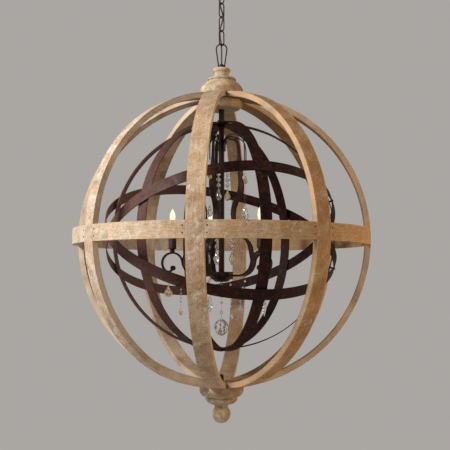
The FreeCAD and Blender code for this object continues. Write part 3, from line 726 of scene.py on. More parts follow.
@dataclass(frozen=True)
class RustedIron(Finish):
    """Hot-rolled strap iron left to rust, then waxed.

    Brown-red rust clouds over dark scale, with a soft wax sheen that picks up the light. On the
    orb's
    -X side a paler red-brown and a purplish grey are painted in as the key light's sheen.
    """

    scale: str = "120503"
    rust: str = "3A140B"
    # purplish grey of dust blotches, also painted on the -X side as sheen
    dust_and_sheen: str = "846863"
    # paler red-brown of the -X side, painted as the key light's sheen
    painted_lit_rust: str = "67443A"
    bloom_share: float = 0.2
    pit_share: float = 0.45
    dust_share: float = 0.5  # size of a dust blotch, in parts of a cloud
    painted_lit_bloom: float = 0.5  # how much more purplish grey the -X side gets, as painted sheen
    wear: Pair = (-0.08, 0.14)  # change of roughness on scale and on rust
    bump: float = 0.3
    bump_mm: float = 0.4
    sheen: float = 0.2
    painted_lit_side: float = 0.0  # how much paler red-brown and purplish grey the orb's -X side gets, as painted sheen
    lit_reach_mm: Pair = (33.5, 335.0)  # from the axis, where that starts and is full
    roughness: float = 0.58  # waxed rust
    metallic: float = 0.1  # scale over iron, all but covered by rust
    cloud_mm: float = 26.0
    pit_mm: float = 2.4
    clouds: Blotches = Blotches(0.36, 0.64, 6.0, 0.6)
    pits: Blotches = Blotches(0.45, 0.68, 4.0, 0.6, 5.0)
    dust: Blotches = Blotches(0.50, 0.70, 6.0, 0.68, 9.0)

    def shader(self, tree: NodeTree) -> NodeSocket:
        """Iron for straps, bars and tubes.

        Args:
            tree: The node tree.

        Returns:
            The shader.
        """
        where = object_place(tree)
        clouds = self.clouds.mask(tree, where, self.cloud_mm)
        pits = self.pits.mask(tree, where, self.pit_mm)
        dust = self.dust.mask(tree, where, self.cloud_mm * self.dust_share)
        colour = blend_colour(tree, clouds, self.scale, self.rust)
        share = maths(tree, "MULTIPLY", dust, self.bloom_share)
        # the orb's -X side is painted paler and purplish, as the key light's sheen
        if self.painted_lit_side:
            across = add_node(tree, "SeparateXYZ", {0: where}).outputs[0]
            start, full = (-reach * MM for reach in self.lit_reach_mm)
            lit_share = remap(tree, across, (start, full), (0.0, self.painted_lit_side))
            colour = blend_colour(tree, lit_share, colour, self.painted_lit_rust)
            share = maths(tree, "MULTIPLY_ADD", lit_share, self.painted_lit_bloom, share)
        colour = blend_colour(tree, share, colour, self.dust_and_sheen)
        share = maths(tree, "MULTIPLY", pits, self.pit_share)
        colour = blend_colour(tree, share, colour, self.scale)
        smooth, dull = (self.roughness + change for change in self.wear)
        rough = remap(tree, clouds, (0.0, 1.0), (smooth, dull))
        return bumpy_skin(tree, pits, self.bump, self.bump_mm, Base_Color=colour,
                          Metallic=self.metallic, Roughness=rough, Specular_IOR_Level=self.sheen)


@dataclass(frozen=True)
class CutGlass(Finish):
    """Lead crystal, cut in flat facets and polished: clear, sharp highlights, bright edges."""

    tint: str = "FFFFFF"
    clear: float = 0.86  # the rest is light that dusty or coloured glass scatters
    ior: float = 1.58
    roughness: float = 0.02
    film_roughness: float = 0.06
    film_mm: float = 9.0  # faint cloudiness of handled glass
    film: Blotches = Blotches(0.40, 0.75, 3.0, 0.5)

    def shader(self, tree: NodeTree) -> NodeSocket:
        """Glass for beads and drops.

        Args:
            tree: The node tree.

        Returns:
            The shader.
        """
        film = self.film.mask(tree, object_place(tree), self.film_mm)
        rough = remap(tree, film, (0.0, 1.0), (self.roughness, self.film_roughness))
        return add_node(tree, "BsdfPrincipled", {
            "Base Color": linear(self.tint), "Roughness": rough, "IOR": self.ior,
            "Transmission Weight": self.clear}).outputs[0]


@dataclass(frozen=True)
class LitGlass(Finish):
    """Blown soda glass round a hot filament: a clear skin that glows warm from inside."""

    tint: str = "FFF1D8"
    glow: str = "DDB074"  # at the outline
    middle_glow: str = "FFE9C2"
    strength: float = 0.3
    rim: float = 0.35  # how far the outline's glow reaches inwards
    roughness: float = 0.03
    ior: float = 1.5

    def shader(self, tree: NodeTree) -> NodeSocket:
        """Glass for the bulbs' envelopes.

        Args:
            tree: The node tree.

        Returns:
            The shader.
        """
        glow = rim_colour(tree, self.rim, self.middle_glow, self.glow)
        return add_node(tree, "BsdfPrincipled", {
            "Base Color": linear(self.tint), "Roughness": self.roughness, "IOR": self.ior,
            "Transmission Weight": 1.0, "Emission Color": glow,
            "Emission Strength": self.strength}).outputs[0]


@dataclass(frozen=True)
class HotFilament(Finish):
    """Tungsten glow, seen as one soft flame-shaped bright core."""

    colour: str = "F0D298"  # at the outline
    middle: str = "FFF6DA"
    strength: float = 1.3
    rim: float = 0.5

    def shader(self, tree: NodeTree) -> NodeSocket:
        """Light of the glowing core.

        Args:
            tree: The node tree.

        Returns:
            The shader.
        """
        colour = rim_colour(tree, self.rim, self.middle, self.colour)
        return add_node(tree, "Emission", {"Color": colour, "Strength": self.strength}).outputs[0]


@dataclass(frozen=True)
class PlainSurface(Finish):
    """A moulded, drawn or plated surface with fine mottling.

    Used for phenolic lampholders, dark candle sleeves, vinyl cord jacket, steel and brass.
    """

    colour: str
    second: str
    roughness: float
    metallic: float = 0.0
    speck_mm: float = 3.0
    bump: float = 0.1
    bump_mm: float = 0.3
    dulling: float = 0.12  # how much rougher the specks are
    specks: Blotches = Blotches(0.35, 0.70)

    def shader(self, tree: NodeTree) -> NodeSocket:
        """Surface of small plain pieces.

        Args:
            tree: The node tree.

        Returns:
            The shader.
        """
        specks = self.specks.mask(tree, object_place(tree), self.speck_mm)
        colour = blend_colour(tree, specks, self.colour, self.second)
        dull = min(1.0, self.roughness + self.dulling)
        rough = remap(tree, specks, (0.0, 1.0), (self.roughness, dull))
        return bumpy_skin(tree, specks, self.bump, self.bump_mm, Base_Color=colour,
                          Metallic=self.metallic, Roughness=rough)


@dataclass(frozen=True)
class StudioPaper(Finish):
    """Floor paper: near the object it takes the shadow, further away it is plain grey."""

    wall_colour: str = WALL_COLOUR
    lit_colour: str = "DEDBD7"
    plain_share: float = 0.6  # of the look near the object; the rest takes the shadow
    glow: float = 1.26  # makes the lit floor as pale as the wall
    fade: Pair = (1.5, 7.0)  # metres from the axis, where the floor turns into wall

    def shader(self, tree: NodeTree) -> NodeSocket:
        """Paper for the floor sheet.

        Args:
            tree: The node tree.

        Returns:
            The shader.
        """
        seen = seen_by(tree, "Is Camera Ray", "Is Glossy Ray", "Is Transmission Ray")
        lit = add_node(tree, "BsdfDiffuse", {"Color": linear(self.lit_colour)})
        plain = add_node(tree, "Emission", {
            "Color": linear(self.wall_colour), "Strength": self.glow})
        wall = add_node(tree, "Emission", {"Color": linear(self.wall_colour)})
        share = maths(tree, "MULTIPLY", seen, self.plain_share)
        near = add_node(tree, "MixShader", {0: share, 1: lit.outputs[0], 2: plain.outputs[0]})
        flat = add_node(tree, "VectorMath", {0: object_place(tree), 1: (1, 1, 0)},
                        operation="MULTIPLY").outputs[0]
        reach = add_node(tree, "VectorMath", {0: flat}, operation="LENGTH")
        fade = remap(tree, reach.outputs["Value"], self.fade, kind="SMOOTHSTEP")
        far = maths(tree, "MULTIPLY", fade, seen)
        return add_node(tree, "MixShader", {
            0: far, 1: near.outputs[0], 2: wall.outputs[0]}).outputs[0]


# ---- Sub-assemblies ----


@dataclass
class WoodenOrb:
    """Ribs, equator ring and turned pieces, each with its own run of grain."""

    finish: WhitewashedPine = WhitewashedPine()
    ring_finish: WhitewashedPine = WhitewashedPine(bare="D9C6AC", golden_shade="C4965A", paint="DED6CA")
    # turned pieces turn darker and golden across their own width towards +X, as painted shade
    turned_finish: WhitewashedPine = WhitewashedPine(
        bare="B2A080", golden_shade="A2794A", paint="E8E0CE", stained_shaded_paint="C8B08A", patch_mm=20.0,
        shade_reach_mm=70.0)
    # the inner disc is painted paler than the finials: painted light that makes up for the shade it
    # sits in
    disc_lightened_finish: WhitewashedPine = WhitewashedPine(
        bare="EAD8B6", golden_shade="DEB478", paint="F6F0E0", stained_shaded_paint="EED6AC", patch_mm=24.0,
        shade_reach_mm=62.0)
    rib_count: int = 8
    rib_seed: float = 1.7  # from rib to rib
    turned_seed: float = 31.0
    ring: Strip = Strip(GrainRun.RING, 90.0, half_width=22.0, middle=2.0, seed=23.0)

    def build(self) -> int:
        """Dresses the wooden nodes and their nails.

        Returns:
            How many nodes were dressed.
        """
        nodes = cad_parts
        for k in range(self.rib_count):
            strip = Strip(GrainRun.RIB, 360.0 / self.rib_count * k, seed=k * self.rib_seed)
            material = self.finish.material(f"whitewashed_pine_rib_{k + 1}", strip)
            dressed(nodes[f"rib_{k + 1}"], material)
        ring = self.ring_finish.material("whitewashed_pine_ring", self.ring)
        dressed(nodes["ring_segments"], ring)
        turned = {"top_finial": self.turned_finish, "inner_disc": self.disc_lightened_finish,
                  "bottom_finial": self.turned_finish}
        for k, (name, finish) in enumerate(turned.items()):
            strip = Strip(GrainRun.TURNED, seed=self.turned_seed + k)
            dressed(nodes[name], finish.material(f"whitewashed_pine_{name}", strip))
        nails = PlainSurface("3A2F27", "6B5A48", 0.55, metallic=0.7).material("rusted_nail_steel")
        dressed(nodes["ring_nails"], nails)
        return self.rib_count + len(turned) + 2


@dataclass
class Ironwork:
    """Straps, stem, arms, scrolls, chain and canopy."""

    # the straps get the painted sheen on the -X side
    strap: RustedIron = RustedIron(painted_lit_side=0.85)
    bar: RustedIron = RustedIron(scale="1C110D", rust="38211A", dust_and_sheen="5E443B", bloom_share=0.3,
                                 cloud_mm=14.0, roughness=0.4)
    single_bars: tuple[str, ...] = (
        "stem_tube", "stem_nuts", "hub_cap", "hub_loop", "hub_nipple", "canopy_loop", "canopy",
        "canopy_nipple", "candle_cups", "pole_bolt")
    bar_material: Material | None = None

    def build(self) -> int:
        """Dresses the iron nodes.

        Returns:
            How many nodes were dressed.
        """
        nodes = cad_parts
        strap = self.strap.material("rusted_strap_iron")
        self.bar_material = self.bar.material("blackened_bar_iron")
        steel = PlainSurface("4A4643", "2E2A28", 0.38, metallic=0.9).material("zinc_plated_steel")
        straps = [n for n in nodes if n.startswith(("upright_hoop", "tilted_hoop", "hoop_rivets"))]
        bars = [n for n in nodes
                if n.startswith(("arm_", "scroll_", "chain_link_")) and "pendant" not in n]
        bars += self.single_bars
        for name in straps:
            dressed(nodes[name], strap)
        for name in bars:
            dressed(nodes[name], self.bar_material)
        dressed(nodes["crossbar"], steel)
        return len(straps) + len(bars) + 1


@dataclass
class Candles:
    """Sleeves, lampholders and lit flame bulbs."""

    candle_r: float = 146.0
    glass_sides: int = 32
    core_sides: int = 20
    cap_sides: int = 24
    seat_z: float = 40.0  # lampholder's rim, where the bulb's glass starts
    base: Outline = ((5.2, -19.5), (5.9, -18.5), (5.9, -0.6), (5.4, 0.0), (5.0, 2.6))
    flame: Outline = (
        (5.1, 2.4), (5.6, 5.0), (6.4, 10.0), (7.5, 16.0), (8.4, 21.5), (8.9, 26.5), (8.8, 30.5),
        (7.9, 35.0), (6.3, 39.0), (4.5, 42.5), (3.0, 45.5), (1.8, 48.0), (0.9, 49.8), (0.3, 50.8))
    core: Outline = (
        (1.0, 8.0), (2.8, 13.0), (4.6, 19.0), (5.6, 25.0), (5.4, 30.0), (4.4, 35.0), (3.0, 40.0),
        (1.5, 44.5), (0.4, 48.0))

    def build(self) -> list[Object]:
        """Builds the bulbs and dresses the sleeves and lampholders.

        Returns:
            The new pieces.
        """
        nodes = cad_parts
        sleeve = PlainSurface("2A1D1A", "3A2A26", 0.5, speck_mm=12.0, bump=0.15)
        holder = PlainSurface("15120F", "211C18", 0.45)
        brass = PlainSurface("8C8474", "6E675A", 0.3, metallic=1.0)
        dressed(nodes["candle_sleeves"], sleeve.material("dark_waxed_card_sleeve"))
        dressed(nodes["lampholders"], holder.material("black_phenolic"))
        pieces = [
            self._at_each_arm("flame_glass", self.flame, self.glass_sides, LitGlass(),
                              "lit_soda_glass"),
            self._at_each_arm("flame_core", self.core, self.core_sides, HotFilament(),
                              "hot_tungsten"),
            self._at_each_arm("bulb_caps", self.base, self.cap_sides, brass,
                              "nickel_plated_brass")]
        for piece in pieces:
            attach(piece, ORB_BODY)
        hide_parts("bulbs")
        return pieces

    def _at_each_arm(self, name: str, rings: Outline, sides: int,
                     finish: Finish, material_name: str) -> Object:
        """Turns one part of a bulb, copies it to every candle and joins the copies.

        Args:
            name: The joined object's name.
            rings: Its outline, measured from the lampholder's rim.
            sides: Sides of each ring.
            finish: Its surface.
            material_name: The material's name.

        Returns:
            The joined object.
        """
        template = turned_form(f"{name}_template", rings, sides, smooth=True)
        copies = []
        for k, azimuth in enumerate(ARM_AZIMUTHS):
            place = Matrix.Translation(polar(azimuth, self.candle_r, self.seat_z))
            copies.append(copy_to(template, place, f"{name}_{k}"))
        bpy.data.objects.remove(template)
        return dressed(joined(copies, name), finish.material(material_name))


class Cut(Enum):
    """Shapes of cut glass."""

    BEAD = "bead"
    BALL = "ball"
    ALMOND = "almond"
    PEAR = "pear"


@dataclass(frozen=True)
class Crystal:
    """One crystal on a string."""

    below: float  # from the string's top ring to the crystal's middle
    half_width: float
    half_height: float
    cut: Cut = Cut.BEAD
    amber: bool = False


String = tuple[Crystal, ...]


@dataclass(frozen=True)
class Swag:
    """Beads on a slack wire between two points along an arm."""

    start: Pair  # distance from the axis, and height
    end: Pair
    sag: float  # how far the middle hangs below the ends
    beads: int = 9
    bead_sizes: Pair = (3.4, 4.4)  # half widths in turn
    flatness: float = 0.95  # of a bead's half width, along the wire


@dataclass
class CrystalWorks:
    """Cuts each shape of crystal once and strings copies of them."""

    iron: Material  # finish of the hooks
    eye_drop: float = 4.2  # from an eye's middle to the middle of the ring that hangs in it
    ring_r: float = 3.0
    ring_wire: float = 0.7
    link_r: float = 1.5
    pin_r: float = 0.22
    pin_sides: int = 6
    pin_seat: float = 0.6  # how deep a pin sits in a crystal
    shortest_pin: float = 0.5
    hook_wire: float = 1.7
    spin: float = 0.9  # radians between the facets of one bead and the next
    centre_eye: Pair = (0.0, -129.4)  # distance from the axis, and height
    pendant_eye: Pair = (157.31, -102.21)
    waist_eye: Pair = (38.6, 72.0)
    hook_ring: Pair = (87.0, 219.5)
    stem_ring: Pair = (23.0, 291.5)
    swagged_arms: tuple[int, int] = (4, 5)  # the back arms have none
    arm_tail: int = 4  # the bead that an arm swag's tail hangs from
    hub_tails: tuple[int, int] = (1, 6)
    arm_swag: Swag = Swag((152.0, -103.0), (80.0, -112.0), 26.0)
    hub_swag: Swag = Swag((31.0, -125.0), (92.0, -114.0), 52.0)
    centre: String = (
        Crystal(35, 5.0, 4.4), Crystal(54, 4.5, 4.0), Crystal(82, 5.6, 5.0),
        Crystal(125, 21.4, 24.5, Cut.BALL))
    almond: String = (
        Crystal(14, 4.5, 4.0), Crystal(30, 4.5, 4.0), Crystal(46, 5.5, 5.0),
        Crystal(88, 8.5, 29, Cut.ALMOND))
    pear: String = (
        Crystal(12, 4.5, 4.0), Crystal(24, 3.5, 3.5), Crystal(48, 13.0, 16.5, Cut.PEAR, True))
    waist: String = (
        Crystal(16, 3.5, 3.5), Crystal(30, 4.5, 4.0), Crystal(44, 4.5, 4.0), Crystal(58, 4.5, 4.0),
        Crystal(74, 5.0, 5.0), Crystal(92, 5.4, 6.0), Crystal(126, 9.4, 19, Cut.ALMOND))
    hooked: String = (
        Crystal(41, 6.2, 10.5, Cut.PEAR, True), Crystal(127, 3.2, 3.0),
        Crystal(143, 8.6, 17.5, Cut.PEAR))
    inner: String = (
        Crystal(90, 4.6, 4.4), Crystal(103, 5.8, 5.6), Crystal(118, 7.0, 6.8),
        Crystal(134, 6.4, 6.2), Crystal(163, 9.6, 17, Cut.PEAR))
    swag_tail: String = (
        Crystal(16, 2.8, 2.6), Crystal(28, 2.8, 2.6), Crystal(40, 2.8, 2.6), Crystal(52, 3.4, 3.2),
        Crystal(80, 6.0, 12, Cut.PEAR, True))
    short_tail: String = (
        Crystal(9, 3.0, 2.8), Crystal(18, 3.6, 3.4), Crystal(36, 6.5, 11, Cut.PEAR))
    hook_path: Outline = (
        (8.6, 282.0), (11.0, 299.0), (30.0, 307.0), (56.0, 308.0), (80.0, 299.0), (87.0, 275.0),
        (87.0, 250.0), (87.0, 224.0))
    outlines: dict = field(default_factory=lambda: {  # sides, and a half width and height of 1
        Cut.BEAD: (8, ((0.30, -1.0), (0.78, -0.66), (1.0, -0.14), (1.0, 0.14), (0.78, 0.66),
                       (0.30, 1.0))),
        Cut.BALL: (12, ((0.10, -1.0), (0.42, -0.88), (0.74, -0.64), (0.95, -0.32), (1.03, 0.02),
                        (0.95, 0.36), (0.74, 0.64), (0.44, 0.84), (0.18, 0.92), (0.14, 1.0))),
        Cut.ALMOND: (8, ((0.05, -1.0), (0.46, -0.74), (0.84, -0.42), (1.0, -0.14), (0.86, 0.20),
                         (0.52, 0.60), (0.28, 0.84), (0.24, 1.0))),
        Cut.PEAR: (8, ((0.20, -1.0), (0.66, -0.88), (0.96, -0.56), (1.0, -0.28), (0.78, 0.06),
                       (0.48, 0.42), (0.24, 0.74), (0.14, 1.0)))})
    almond_depth: float = 0.62  # of its width, because such drops are pressed flat
    cuts: dict[Cut, Object] = field(default_factory=dict)
    finishes: dict[str, Material] = field(default_factory=dict)

    def build(self) -> list[Object]:
        """Makes every string.

        Returns:
            The new pieces.
        """
        for cut, (sides, rings) in self.outlines.items():
            self.cuts[cut] = turned_form(cut.value, rings, sides, FACET_SKEW)
        self._flatten(self.cuts[Cut.ALMOND])
        wire = PlainSurface("BDB7AC", "948D82", 0.3, metallic=0.9)
        self.finishes = {
            "clear": CutGlass().material("lead_crystal"),
            "amber": CutGlass(tint="FAEBC2", clear=0.74).material("amber_crystal_glass"),
            "wire": wire.material("nickel_wire")}

        made = self._string("ball_drop", 0.0, self._under(self.centre_eye), self.centre,
                            "centre_drop")
        for k, azimuth in enumerate(ARM_AZIMUTHS):
            pendant = self.almond if k % 2 == 0 else self.pear
            made += self._string(f"arm_pendant_{k + 1}", azimuth, self._under(self.pendant_eye),
                                 pendant, f"pendant_{k + 1}")
            made += self._string(f"waist_strand_{k + 1}", azimuth, self._under(self.waist_eye),
                                 self._with_last(self.waist, amber=k == 0), f"strand_{k + 1}")
            made += self._string(f"hook_string_{k + 1}", azimuth, self.hook_ring, self.hooked)
            if k + 1 in self.swagged_arms:
                made += self._swagged(f"arm_swag_{k + 1}", azimuth, self.arm_swag,
                                      {self.arm_tail: self.swag_tail})
        for k in (5, 1):
            made += self._string(f"stem_string_{k}", ARM_AZIMUTHS[k - 1], self.stem_ring,
                                 self._with_last(self.inner, amber=k == 1))
        first, second = self.hub_tails
        tails = {first: self._with_last(self.swag_tail, amber=False), second: self.short_tail}
        made += self._swagged("hub_swag", ARM_AZIMUTHS[0], self.hub_swag, tails)
        made.append(self._hooks())
        for template in self.cuts.values():
            bpy.data.objects.remove(template)
        return made

    def _under(self, eye: Pair) -> Pair:
        """Place of the top ring under an eye."""
        radius, height = eye
        return radius, height - self.eye_drop

    def _with_last(self, crystals: String, amber: bool) -> String:
        """The same string with its lowest crystal in amber or clear glass."""
        return crystals[:-1] + (replace(crystals[-1], amber=amber),)

    def _flatten(self, template: Object) -> None:
        """Presses a pendant flat.

        Args:
            template: The pendant, around the origin.
        """
        make_only(template)
        bpy.ops.object.mode_set(mode="EDIT")
        bpy.ops.mesh.select_all(action="SELECT")
        bpy.ops.transform.resize(value=(1, self.almond_depth, 1), center_override=(0, 0, 0))
        bpy.ops.object.mode_set(mode="OBJECT")

    def _string(self, name: str, azimuth: float, ring: Pair | Vector,
                crystals: String, body: str = ORB_BODY) -> list[Object]:
        """One string: its ring, pins and crystals.

        Args:
            name: The CAD node that it replaces, or the new string's name.
            azimuth: Azimuth that it faces.
            ring: Its top ring's distance from the axis and height, or its place in metres.
            crystals: Its crystals from the top down.
            body: The body that it rides on.

        Returns:
            The crystals and the wire.
        """
        top = ring if isinstance(ring, Vector) else polar(azimuth, *ring)
        facing = Matrix.Rotation(math.radians(azimuth), 4, "Z")
        parts = {"clear": [], "amber": []}
        for k, crystal in enumerate(crystals):
            turns = self.spin * k if crystal.cut in (Cut.BEAD, Cut.BALL) else 0.0
            size = (crystal.half_width, crystal.half_width, crystal.half_height, 1)
            place = (Matrix.Translation(top - Vector((0, 0, crystal.below * MM))) @ facing
                     @ Matrix.Rotation(turns, 4, "Z") @ Matrix.Diagonal(size))
            copy = copy_to(self.cuts[crystal.cut], place, f"{name}_c{k}")
            parts["amber" if crystal.amber else "clear"].append(copy)
        parts["wire"] = self._pins(name, top, facing, crystals)
        titles = {"clear": "crystals", "amber": "amber", "wire": "wire"}
        pieces = [dressed(joined(group, f"{name}_{titles[kind]}"), self.finishes[kind])
                  for kind, group in parts.items() if group]
        for piece in pieces:
            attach(piece, body)
        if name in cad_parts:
            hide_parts(name)
        return pieces

    def _pin(self, name: str, low: float, high: float, place: Matrix) -> Object:
        """A straight wire.

        Args:
            name: Start of its name.
            low: Its lower end before it's placed, in mm.
            high: Its upper end, in mm.
            place: Where it goes, in metres.

        Returns:
            The wire.
        """
        template = turned_form(f"{name}_pin", ((self.pin_r, low), (self.pin_r, high)),
                               self.pin_sides)
        pin = copy_to(template, place, f"{name}_piece")
        bpy.data.objects.remove(template)
        return pin

    def _pins(self, name: str, top: Vector, facing: Matrix, crystals: String) -> list[Object]:
        """Top ring, and a pin with a small ring between each two crystals.

        Args:
            name: The string's name.
            top: Middle of the top ring, in metres.
            facing: Turn towards the string's azimuth.
            crystals: Its crystals from the top down.

        Returns:
            The wire pieces.
        """
        ring = wire_ring(f"{name}_ring", self.ring_r, self.ring_wire)
        small = wire_ring(f"{name}_link", self.link_r, self.pin_r)
        metal = [copy_to(ring, Matrix.Translation(top) @ facing, f"{name}_top_ring")]
        high = -self.ring_r
        for k, crystal in enumerate(crystals):
            low = -crystal.below + crystal.half_height - self.pin_seat
            if high - low > self.shortest_pin:
                metal.append(self._pin(f"{name}_{k}", low, high, Matrix.Translation(top)))
                middle = top + Vector((0, 0, (high + low) / 2 * MM))
                place = Matrix.Translation(middle) @ facing
                metal.append(copy_to(small, place, f"{name}_link_{k}"))
            high = -crystal.below - crystal.half_height + self.pin_seat
        bpy.data.objects.remove(ring)
        bpy.data.objects.remove(small)
        return metal

    def _swagged(self, name: str, azimuth: float, swag: Swag,
                 tails: dict[int, String]) -> list[Object]:
        """One swag with the short strings that hang from it.

        Args:
            name: Object name.
            azimuth: Azimuth of its arm.
            swag: Its course and beads.
            tails: The crystals of each string, by the bead that it hangs from.

        Returns:
            The crystals and the wire.
        """
        start, end = polar(azimuth, *swag.start), polar(azimuth, *swag.end)
        points = []
        for k in range(swag.beads + 1):
            t = k / swag.beads
            point = start.lerp(end, t)
            point.z -= swag.sag * MM * (1 - (2 * t - 1) ** 2)
            points.append(point)
        beads, metal, made = [], [], []
        for k, (a, b) in enumerate(zip(points, points[1:])):
            turn = (b - a).to_track_quat("Z", "Y").to_matrix().to_4x4()
            course = Matrix.Translation((a + b) / 2) @ turn
            size = swag.bead_sizes[k % 2]
            shape = Matrix.Diagonal((size, size, size * swag.flatness, 1))
            beads.append(copy_to(self.cuts[Cut.BEAD], course @ shape, f"{name}_bead_{k}"))
            reach = (b - a).length / MM / 2
            metal.append(self._pin(f"{name}_{k}", -reach, reach, course))
        for k, tail in tails.items():
            made += self._string(f"{name}_tail_{k}", 0.0, points[k], tail)
        pieces = [dressed(joined(beads, f"{name}_crystals"), self.finishes["clear"]),
                  dressed(joined(metal, f"{name}_wire"), self.finishes["wire"])]
        for piece in pieces:
            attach(piece, ORB_BODY)
        return pieces + made

    def _hooks(self) -> Object:
        """Thin bent rods from the stem, each over the string that it carries.

        Returns:
            All five in one piece.
        """
        rods = []
        for k, azimuth in enumerate(ARM_AZIMUTHS):
            path = [polar(azimuth, radius, height) for radius, height in self.hook_path]
            rods.append(swept_wire(f"hook_{k}", path, self.hook_wire, steps=6, roundness=3))
        hooks = dressed(joined(rods, "crystal_hooks"), self.iron)
        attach(hooks, ORB_BODY)
        return hooks


@dataclass
class SupplyCord:
    """The lead that is woven through the chain, cut into one stretch per joint.

    Its heights are in the shared frame, apart from the nipple's.
    """

    diameter: float = 4.4
    loop_azimuth: float = 98.6
    sway: float = 7.7
    ceiling_loop: float = -107.7  # where the first link hangs in the canopy's loop
    link_pitch: float = 42.5
    crossing_rise: float = 2.0  # the cord passes this far over each contact of two links
    bend_reach: float = 12.0  # it bends this far above and below each contact
    cut_share: float = 0.45  # of a link's pitch, from its contact down to the next cut
    top: Pair = (-32.0, -61.0)
    nipple_top: float = 525.0  # above the orb's middle
    nipple_entry: Pair = (30.0, -14.0)  # the last points, from the nipple's top
    bodies: tuple[str, ...] = ("ceiling_end", "link_1", "link_2", "link_3", "link_4", "orb")

    def build(self) -> list[Object]:
        """Makes the cord and cuts it at each link.

        Returns:
            The stretches, from the top down.
        """
        whole = swept_wire("supply_cord_line", self._route(), self.diameter / 2, steps=10,
                           roundness=2)
        jacket = PlainSurface("2B1F19", "3B2C24", 0.55, speck_mm=2.0, bump=0.2)
        dressed(whole, jacket.material("brown_vinyl_jacket"))
        pivots = self._pivots()
        cuts = [pivot - self.cut_share * self.link_pitch for pivot in pivots[:-1]]
        pieces = []
        for k, (pivot, high, low) in enumerate(zip(pivots, [0.0, *cuts], [*cuts, ORB_Z])):
            piece = copy_to(whole, Matrix.Identity(4), f"supply_cord_{k + 1}")
            self._trim(piece, high, low)
            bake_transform(piece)
            pieces.append(piece)
        bpy.data.objects.remove(whole)
        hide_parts("supply_cord")
        return pieces

    def _pivots(self) -> list[float]:
        """Heights where the loops and links hang in each other."""
        return [self.ceiling_loop - k * self.link_pitch for k in range(len(self.bodies) - 1)]

    def _route(self) -> list[Vector]:
        """Leads the cord from nipple to nipple, past each link's contact in turn.

        Returns:
            The cord's points, in metres.
        """
        points = [Vector((0, 0, z)) for z in self.top]
        pivots = self._pivots()
        for k, pivot in enumerate(pivots):
            side = 90 if k in (0, len(pivots) - 1) else 180 * (k % 2)
            turn = math.radians(self.loop_azimuth + side)
            z = pivot + self.crossing_rise
            points.append(Vector((self.sway * math.sin(turn), -self.sway * math.cos(turn), z)))
        nipple = ORB_Z + self.nipple_top
        points += [Vector((0, 0, nipple + rise)) for rise in self.nipple_entry]
        return [point * MM for point in points]

    def _trim(self, piece: Object, high: float, low: float) -> None:
        """Keeps the stretch of the cord between two heights.

        Args:
            piece: A copy of the whole cord.
            high: Upper end, in mm.
            low: Lower end, in mm.
        """
        make_only(piece)
        bpy.ops.object.mode_set(mode="EDIT")
        for height, outer in ((high, True), (low, False)):
            bpy.ops.mesh.select_all(action="SELECT")
            bpy.ops.mesh.bisect(plane_co=(0, 0, height * MM), plane_no=(0, 0, 1), use_fill=False,
                                clear_outer=outer, clear_inner=not outer)
        bpy.ops.object.mode_set(mode="OBJECT")


@dataclass(frozen=True)
class Lamp:
    """A square area lamp that points at the orb's middle."""

    name: str
    azimuth: float
    radius: float
    height: float
    size: float  # metres
    power: float  # watts
    colour: str

    def place(self, scene: Scene) -> None:
        """Hangs the lamp.

        Args:
            scene: The scene that it lights.
        """
        lamp = bpy.data.lights.new(self.name, "AREA")
        lamp.shape = "SQUARE"
        lamp.size = self.size
        lamp.energy = self.power
        lamp.color = linear(self.colour)[:3]
        holder = bpy.data.objects.new(self.name, lamp)
        holder.location = polar(self.azimuth, self.radius, self.height)
        aim = polar(0, 0, 0) - holder.location
        holder.rotation_euler = aim.to_track_quat("-Z", "Y").to_euler()
        scene.collection.objects.link(holder)


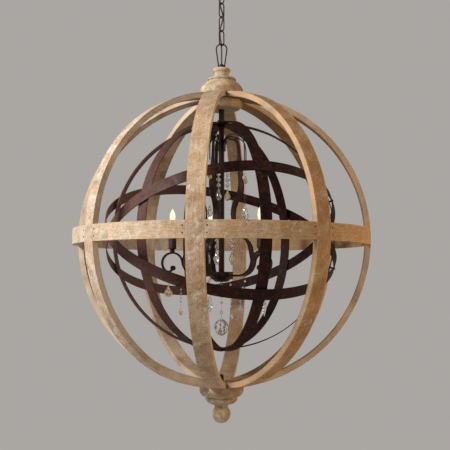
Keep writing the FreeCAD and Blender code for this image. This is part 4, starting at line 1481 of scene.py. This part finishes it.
@dataclass
class Studio:
    """Plain grey surround, soft light from the left, and the camera at the photograph's angle."""

    floor_size: float = 24.0  # metres
    floor_z: float = -2.6  # metres, in the shared frame
    soft_colour: str = "F4F2F0"
    soft_strength: float = 0.32
    distance: float = 2207.5
    azimuth: float = 8.6
    height: float = -116.6
    pitch: float = 4.09
    yaw: float = 0.268
    lens: float = 59.88
    sensor: float = 36.0
    clip_end: float = 50.0  # metres
    lamps: tuple[Lamp, ...] = (
        Lamp("key_lamp", -44.0, 2300.0, 1300.0, 1.2, 86.0, "FFFAF4"),
        Lamp("fill_lamp", 96.0, 2600.0, 150.0, 2.0, 36.0, "FFD9A8"))

    def build(self) -> None:
        """Sets the scene."""
        scene = bpy.context.scene
        scene.view_settings.view_transform = "Standard"
        self._camera(scene)
        self._floor()
        for lamp in self.lamps:
            lamp.place(scene)
        self._surround(scene)

    def _camera(self, scene: Scene) -> None:
        """Puts the camera at the photograph's angle.

        Args:
            scene: The scene that it looks at.
        """
        data = bpy.data.cameras.new("camera")
        data.lens = self.lens
        data.sensor_width = self.sensor
        data.clip_end = self.clip_end
        camera = bpy.data.objects.new("camera", data)
        camera.location = polar(self.azimuth, self.distance, self.height)
        turn = math.radians(self.azimuth - self.yaw)
        camera.rotation_euler = (math.radians(90 + self.pitch), 0, turn)
        scene.collection.objects.link(camera)
        scene.camera = camera

    def _floor(self) -> None:
        """Floor sheet that keeps a soft shadow and fades into the surround's plain grey."""
        deselect_all()
        bpy.ops.mesh.primitive_plane_add(size=self.floor_size, location=(0, 0, self.floor_z))
        sheet = bpy.context.object
        sheet.name = "studio_sweep"
        settle(sheet)
        dressed(sheet, StudioPaper().material("studio_paper"))

    def _surround(self, scene: Scene) -> None:
        """Even soft light from all round, seen as the wall's plain grey.

        Args:
            scene: The scene that it surrounds.
        """
        world = bpy.data.worlds.new("surround")
        scene.world = world
        world.use_nodes = True
        tree = world.node_tree
        tree.nodes.clear()
        seen = seen_by(tree, "Is Camera Ray", "Is Transmission Ray")
        soft = add_node(tree, "Background", {
            "Color": linear(self.soft_colour), "Strength": self.soft_strength})
        wall = add_node(tree, "Background", {"Color": linear(WALL_COLOUR)})
        mix = add_node(tree, "MixShader", {0: seen, 1: soft.outputs[0], 2: wall.outputs[0]})
        out = add_node(tree, "OutputWorld", {0: mix.outputs[0]})
        out.is_active_output = True


def main() -> None:
    """Builds the parts of the scene in order."""
    logging.basicConfig(level=logging.INFO, format="%(name)s: %(message)s")
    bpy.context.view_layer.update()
    Studio().build()
    log.info("studio ready")
    log.info("wooden orb: %d nodes dressed", WoodenOrb().build())
    ironwork = Ironwork()
    log.info("ironwork: %d nodes dressed", ironwork.build())
    for sub_assembly in (SupplyCord(), Candles(), CrystalWorks(ironwork.bar_material)):
        for piece in sub_assembly.build():
            log.info("%s: %d faces", piece.name, len(piece.data.polygons))


if __name__ == "__main__":
    main()
